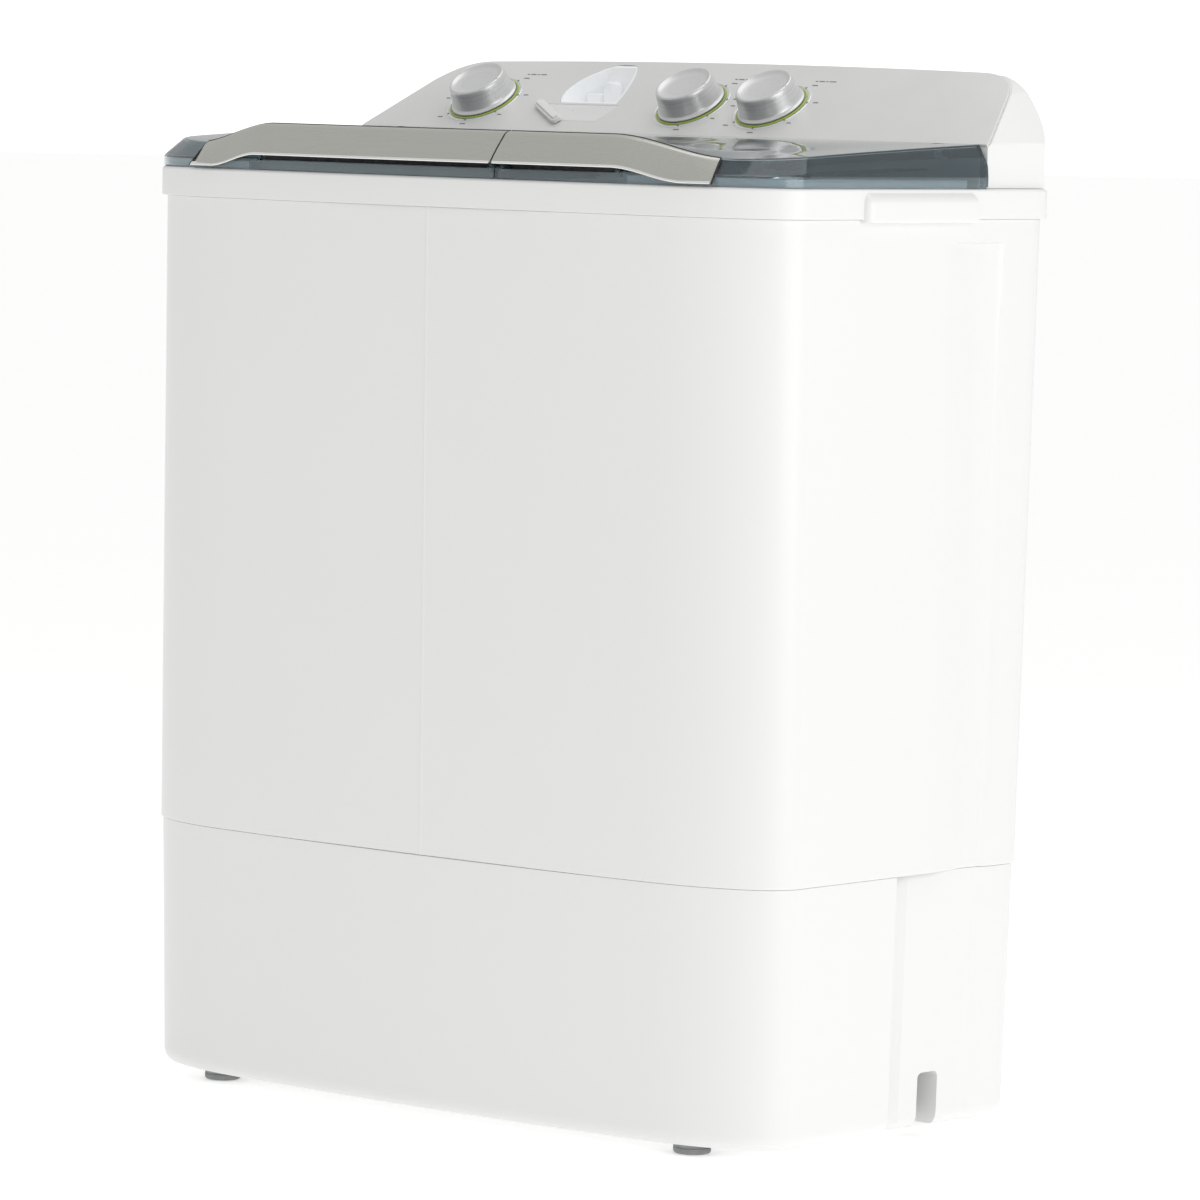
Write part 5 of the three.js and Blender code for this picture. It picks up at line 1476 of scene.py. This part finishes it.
piece(driven_pulley(), "pulsator", grey_plastic, "grey_plastic", "driven_pulley", angle=40)
turned("motor_pulley", "motor_wheel", "wash_motor_rotor", zinc, "zinc_steel", small_profile, 72, WASH_MOTOR)
wash_motor = motor("wash_motor", "wash_drive_motor", 60, WASH_MOTOR)
piece(wash_motor, "cabinet", enamel, "black_enamel", "wash_motor")
piece(flanged_motor(), "cabinet", enamel, "black_enamel", "spin_motor")
turned("pulsator_bearing_sleeve", "bearing_housing", "cabinet", zinc, "zinc_steel", housing, 72, WASH)
turned("spin_shaft", "spin_axle", "spin_basket", steel, "steel", axle, 64, SPIN)
turned("brake_drum", "brake_wheel", "spin_basket", zinc, "zinc_steel", drum, 96, SPIN)
turned("spin_shaft_seal", "shaft_boot", "cabinet", rubber, "black_rubber", boot, 72, SPIN)
for index in range(1, 4):
    mount = (f"spin_motor_mount_{index}", f"damper_{index}")
    turned(*mount, "cabinet", rubber, "black_rubber", damper_profile(index), 64, angle=32)
turned("motor_capacitor", "run_capacitor", "cabinet", grey_plastic, "grey_plastic", can, 72, angle=32)

# ---------------------------------------------------------------- drain and belt
valve_case = [
    (9, 376), (12.4, 376), (13, 376.6), (13, 390), (19.4, 390), (20.4, 391.4), (22, 398), (22, 410),
    (21.4, 411), (22, 412), (22, 429.7), (18.5, 429.7), (18.5, 396), (9, 396), (9, 376),
]
stopper = [
    (0, 396.4), (12.4, 396.4), (13, 396.8), (14.8, 398.6), (15, 399.2), (13.4, 404.6), (12.6, 405.3),
    (4, 408), (3, 409), (3, 413.6), (2.6, 414), (0, 414),
]
turned("drain_valve_body", "valve_case", "cabinet", grey_plastic, "grey_plastic", valve_case, 72, VALVE)
turned("drain_valve_plug", "valve_stopper", "drain_plug", rubber, "black_rubber", stopper, 48, VALVE)

# The drain pipe's middle line, from the valve down and round to the base's notch.
ROUTE = [
    (5, 52, 375.5), (5, 53, 330), (12, 80, 230), (60, 118, 110), (170, 130, 62), (290, 105, 46),
    (322, 86, 43), (345, 78, 42),
]


def catmull(points, steps):
    """Points along a smooth curve through the given ones."""
    ends = [points[0] * 2 - points[1], *points, points[-1] * 2 - points[-2]]
    curve = []
    for a, b, c, d in zip(ends, ends[1:], ends[2:], ends[3:]):
        for t in [i / steps for i in range(steps)]:
            bent = (2 * a - 5 * b + 4 * c - d) * t**2 + (3 * b - a - 3 * c + d) * t**3
            curve.append(0.5 * (2 * b + (c - a) * t + bent))
    return [*curve, points[-1]]


def drain_pipe():
    """A ribbed hose: the wall swells and narrows along its length."""
    line = catmull([Vector(p) for p in ROUTE], 22)
    outer, inner = [], []
    for i, (point, side, other) in enumerate(square_to(line, Vector((0, 1, 0)))):
        plain = i < 5 or i > len(line) - 6
        radius = 11.6 if plain else 11.7 if i % 2 else 10.6
        for rings, r in ((outer, radius), (inner, 9.4)):
            rings.append([tuple(point + side * a + other * b) for a, b in circle(r, steps=28)])
    return loft("drain_tube", outer + inner[::-1], ring_of_rings=True)


piece(drain_pipe(), "cabinet", grey_plastic, "grey_plastic", "drain_pipe", angle=50)


def drive_belt():
    """A flat belt round both pulleys."""
    apart = WASH_MOTOR - WASH

    def loop(grow):
        big, small = BIG_PULLEY + grow, SMALL_PULLEY + grow
        lean = math.acos((big - small) / apart.length)
        points = arc(0, 0, big, lean, 2 * math.pi - lean, 60) + arc(apart.length, 0, small, -lean, lean, 24)
        turn = Matrix.Rotation(math.atan2(apart.y, apart.x), 2)
        return [turn @ Vector(p) + WASH for p in points]

    inner, outer = [(0.6, 303.6), (0.6, 310.4), (1.2, 311)], [(5.0, 311), (5.4, 310.4), (5.4, 303.6)]
    section = [*inner, *outer, (5.0, 303), (1.2, 303)]
    rings = [[(p.x, p.y, z) for p in loop(grow)] for grow, z in section]
    return loft("vee_belt", rings, ring_of_rings=True)


piece(drive_belt(), "cabinet", rubber, "black_rubber", "drive_belt", angle=50)

# ---------------------------------------------------------------- CAD pieces kept, with bevelled edges
KEPT = [
    (grey_plastic, 0.8, ("wash_timer", "selector_switch", "spin_timer")),
    (zinc, 0.8, ("wash_drive_frame", "brake_lever", "brake_bracket")),
    (steel, 0.3, [f"{lid}_hinge_pin_{side}" for lid in HINGES for side in ("left", "right")]),
]
for material, width, names in KEPT:
    for name in names:
        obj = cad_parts[name]
        obj.data.materials.clear()
        obj.data.materials.append(material)
        bevel(obj, width, 2, 40, bake=False)

# ---------------------------------------------------------------- floor, light and camera
FLOOR_RADIUS = 60000.0


def pale_floor():
    """A wide white sweep that glows a little, so that it stays as pale as the backdrop."""
    obj = new_object("floor", [(x, y, -0.5) for x, y in circle(FLOOR_RADIUS, steps=96)], [tuple(range(96))])
    material = surface(
        "floor_pale", (0.93, 0.93, 0.93), 0.7, tone=0.01, spread=0.05, grain=60, blotch=2,
        Emission_Color=(1, 1, 1, 1), Emission_Strength=0.39,
    )
    obj.data.materials.append(material)


pale_floor()


def area_light(name, place, target, size, power):
    """A softbox; its place, target and size are in metres."""
    data = bpy.data.lights.new(name, "AREA")
    data.shape = "RECTANGLE"
    data.size, data.size_y = size
    data.energy = power
    obj = bpy.data.objects.new(name, data)
    scene.collection.objects.link(obj)
    obj.location = place
    obj.rotation_euler = (Vector(target) - Vector(place)).to_track_quat("-Z", "Y").to_euler()


def studio_world(lighting, backdrop):
    """An even pale room; the backdrop behind the object is brighter than the light that it casts."""
    world = bpy.data.worlds.new("studio")
    scene.world = world
    world.use_nodes = True
    seen = node(world.node_tree, "ShaderNodeLightPath").outputs["Is Camera Ray"]
    strength = stretch(world.node_tree, seen, lighting, backdrop, 0, 1)
    put(world.node_tree.nodes["Background"], Strength=strength, Color=(1.0, 1.0, 0.995, 1))


area_light("side_softbox", (3.6, -0.6, 1.3), (0.3, -0.05, 0.5), (2.6, 2.2), 33)
area_light("top_softbox", (0.3, 0.5, 3.2), (0, 0, 0.8), (2.6, 1.8), 16)
studio_world(0.63, 1.3)
scene.view_settings.view_transform = "Standard"



def photograph_camera():
    """The camera of the photograph: where it points and how it leans, what it aims at, and its lens."""
    heading, pitch, roll = math.radians(40.49), math.radians(4.537), math.radians(1.308)
    aim, distance, off_right, off_up = Vector((0, 0, 479.3)), 6475.7, -26.27, -0.49
    level_right = Vector((math.cos(heading), math.sin(heading), 0))
    onward = Vector((-math.sin(heading), math.cos(heading), 0))
    ahead = onward * math.cos(pitch) - Vector((0, 0, math.sin(pitch)))
    upward = level_right.cross(ahead)
    right = level_right * math.cos(roll) + upward * math.sin(roll)
    up = upward * math.cos(roll) - level_right * math.sin(roll)
    data = bpy.data.cameras.new("camera")
    data.sensor_width, data.lens, data.clip_end = 36, 203.13, 200
    camera = bpy.data.objects.new("camera", data)
    scene.collection.objects.link(camera)
    place = (aim - ahead * distance - right * off_right - up * off_up) * MM
    camera.matrix_world = Matrix.Translation(place) @ Matrix((right, up, -ahead)).transposed().to_4x4()
    scene.camera = camera


photograph_camera()
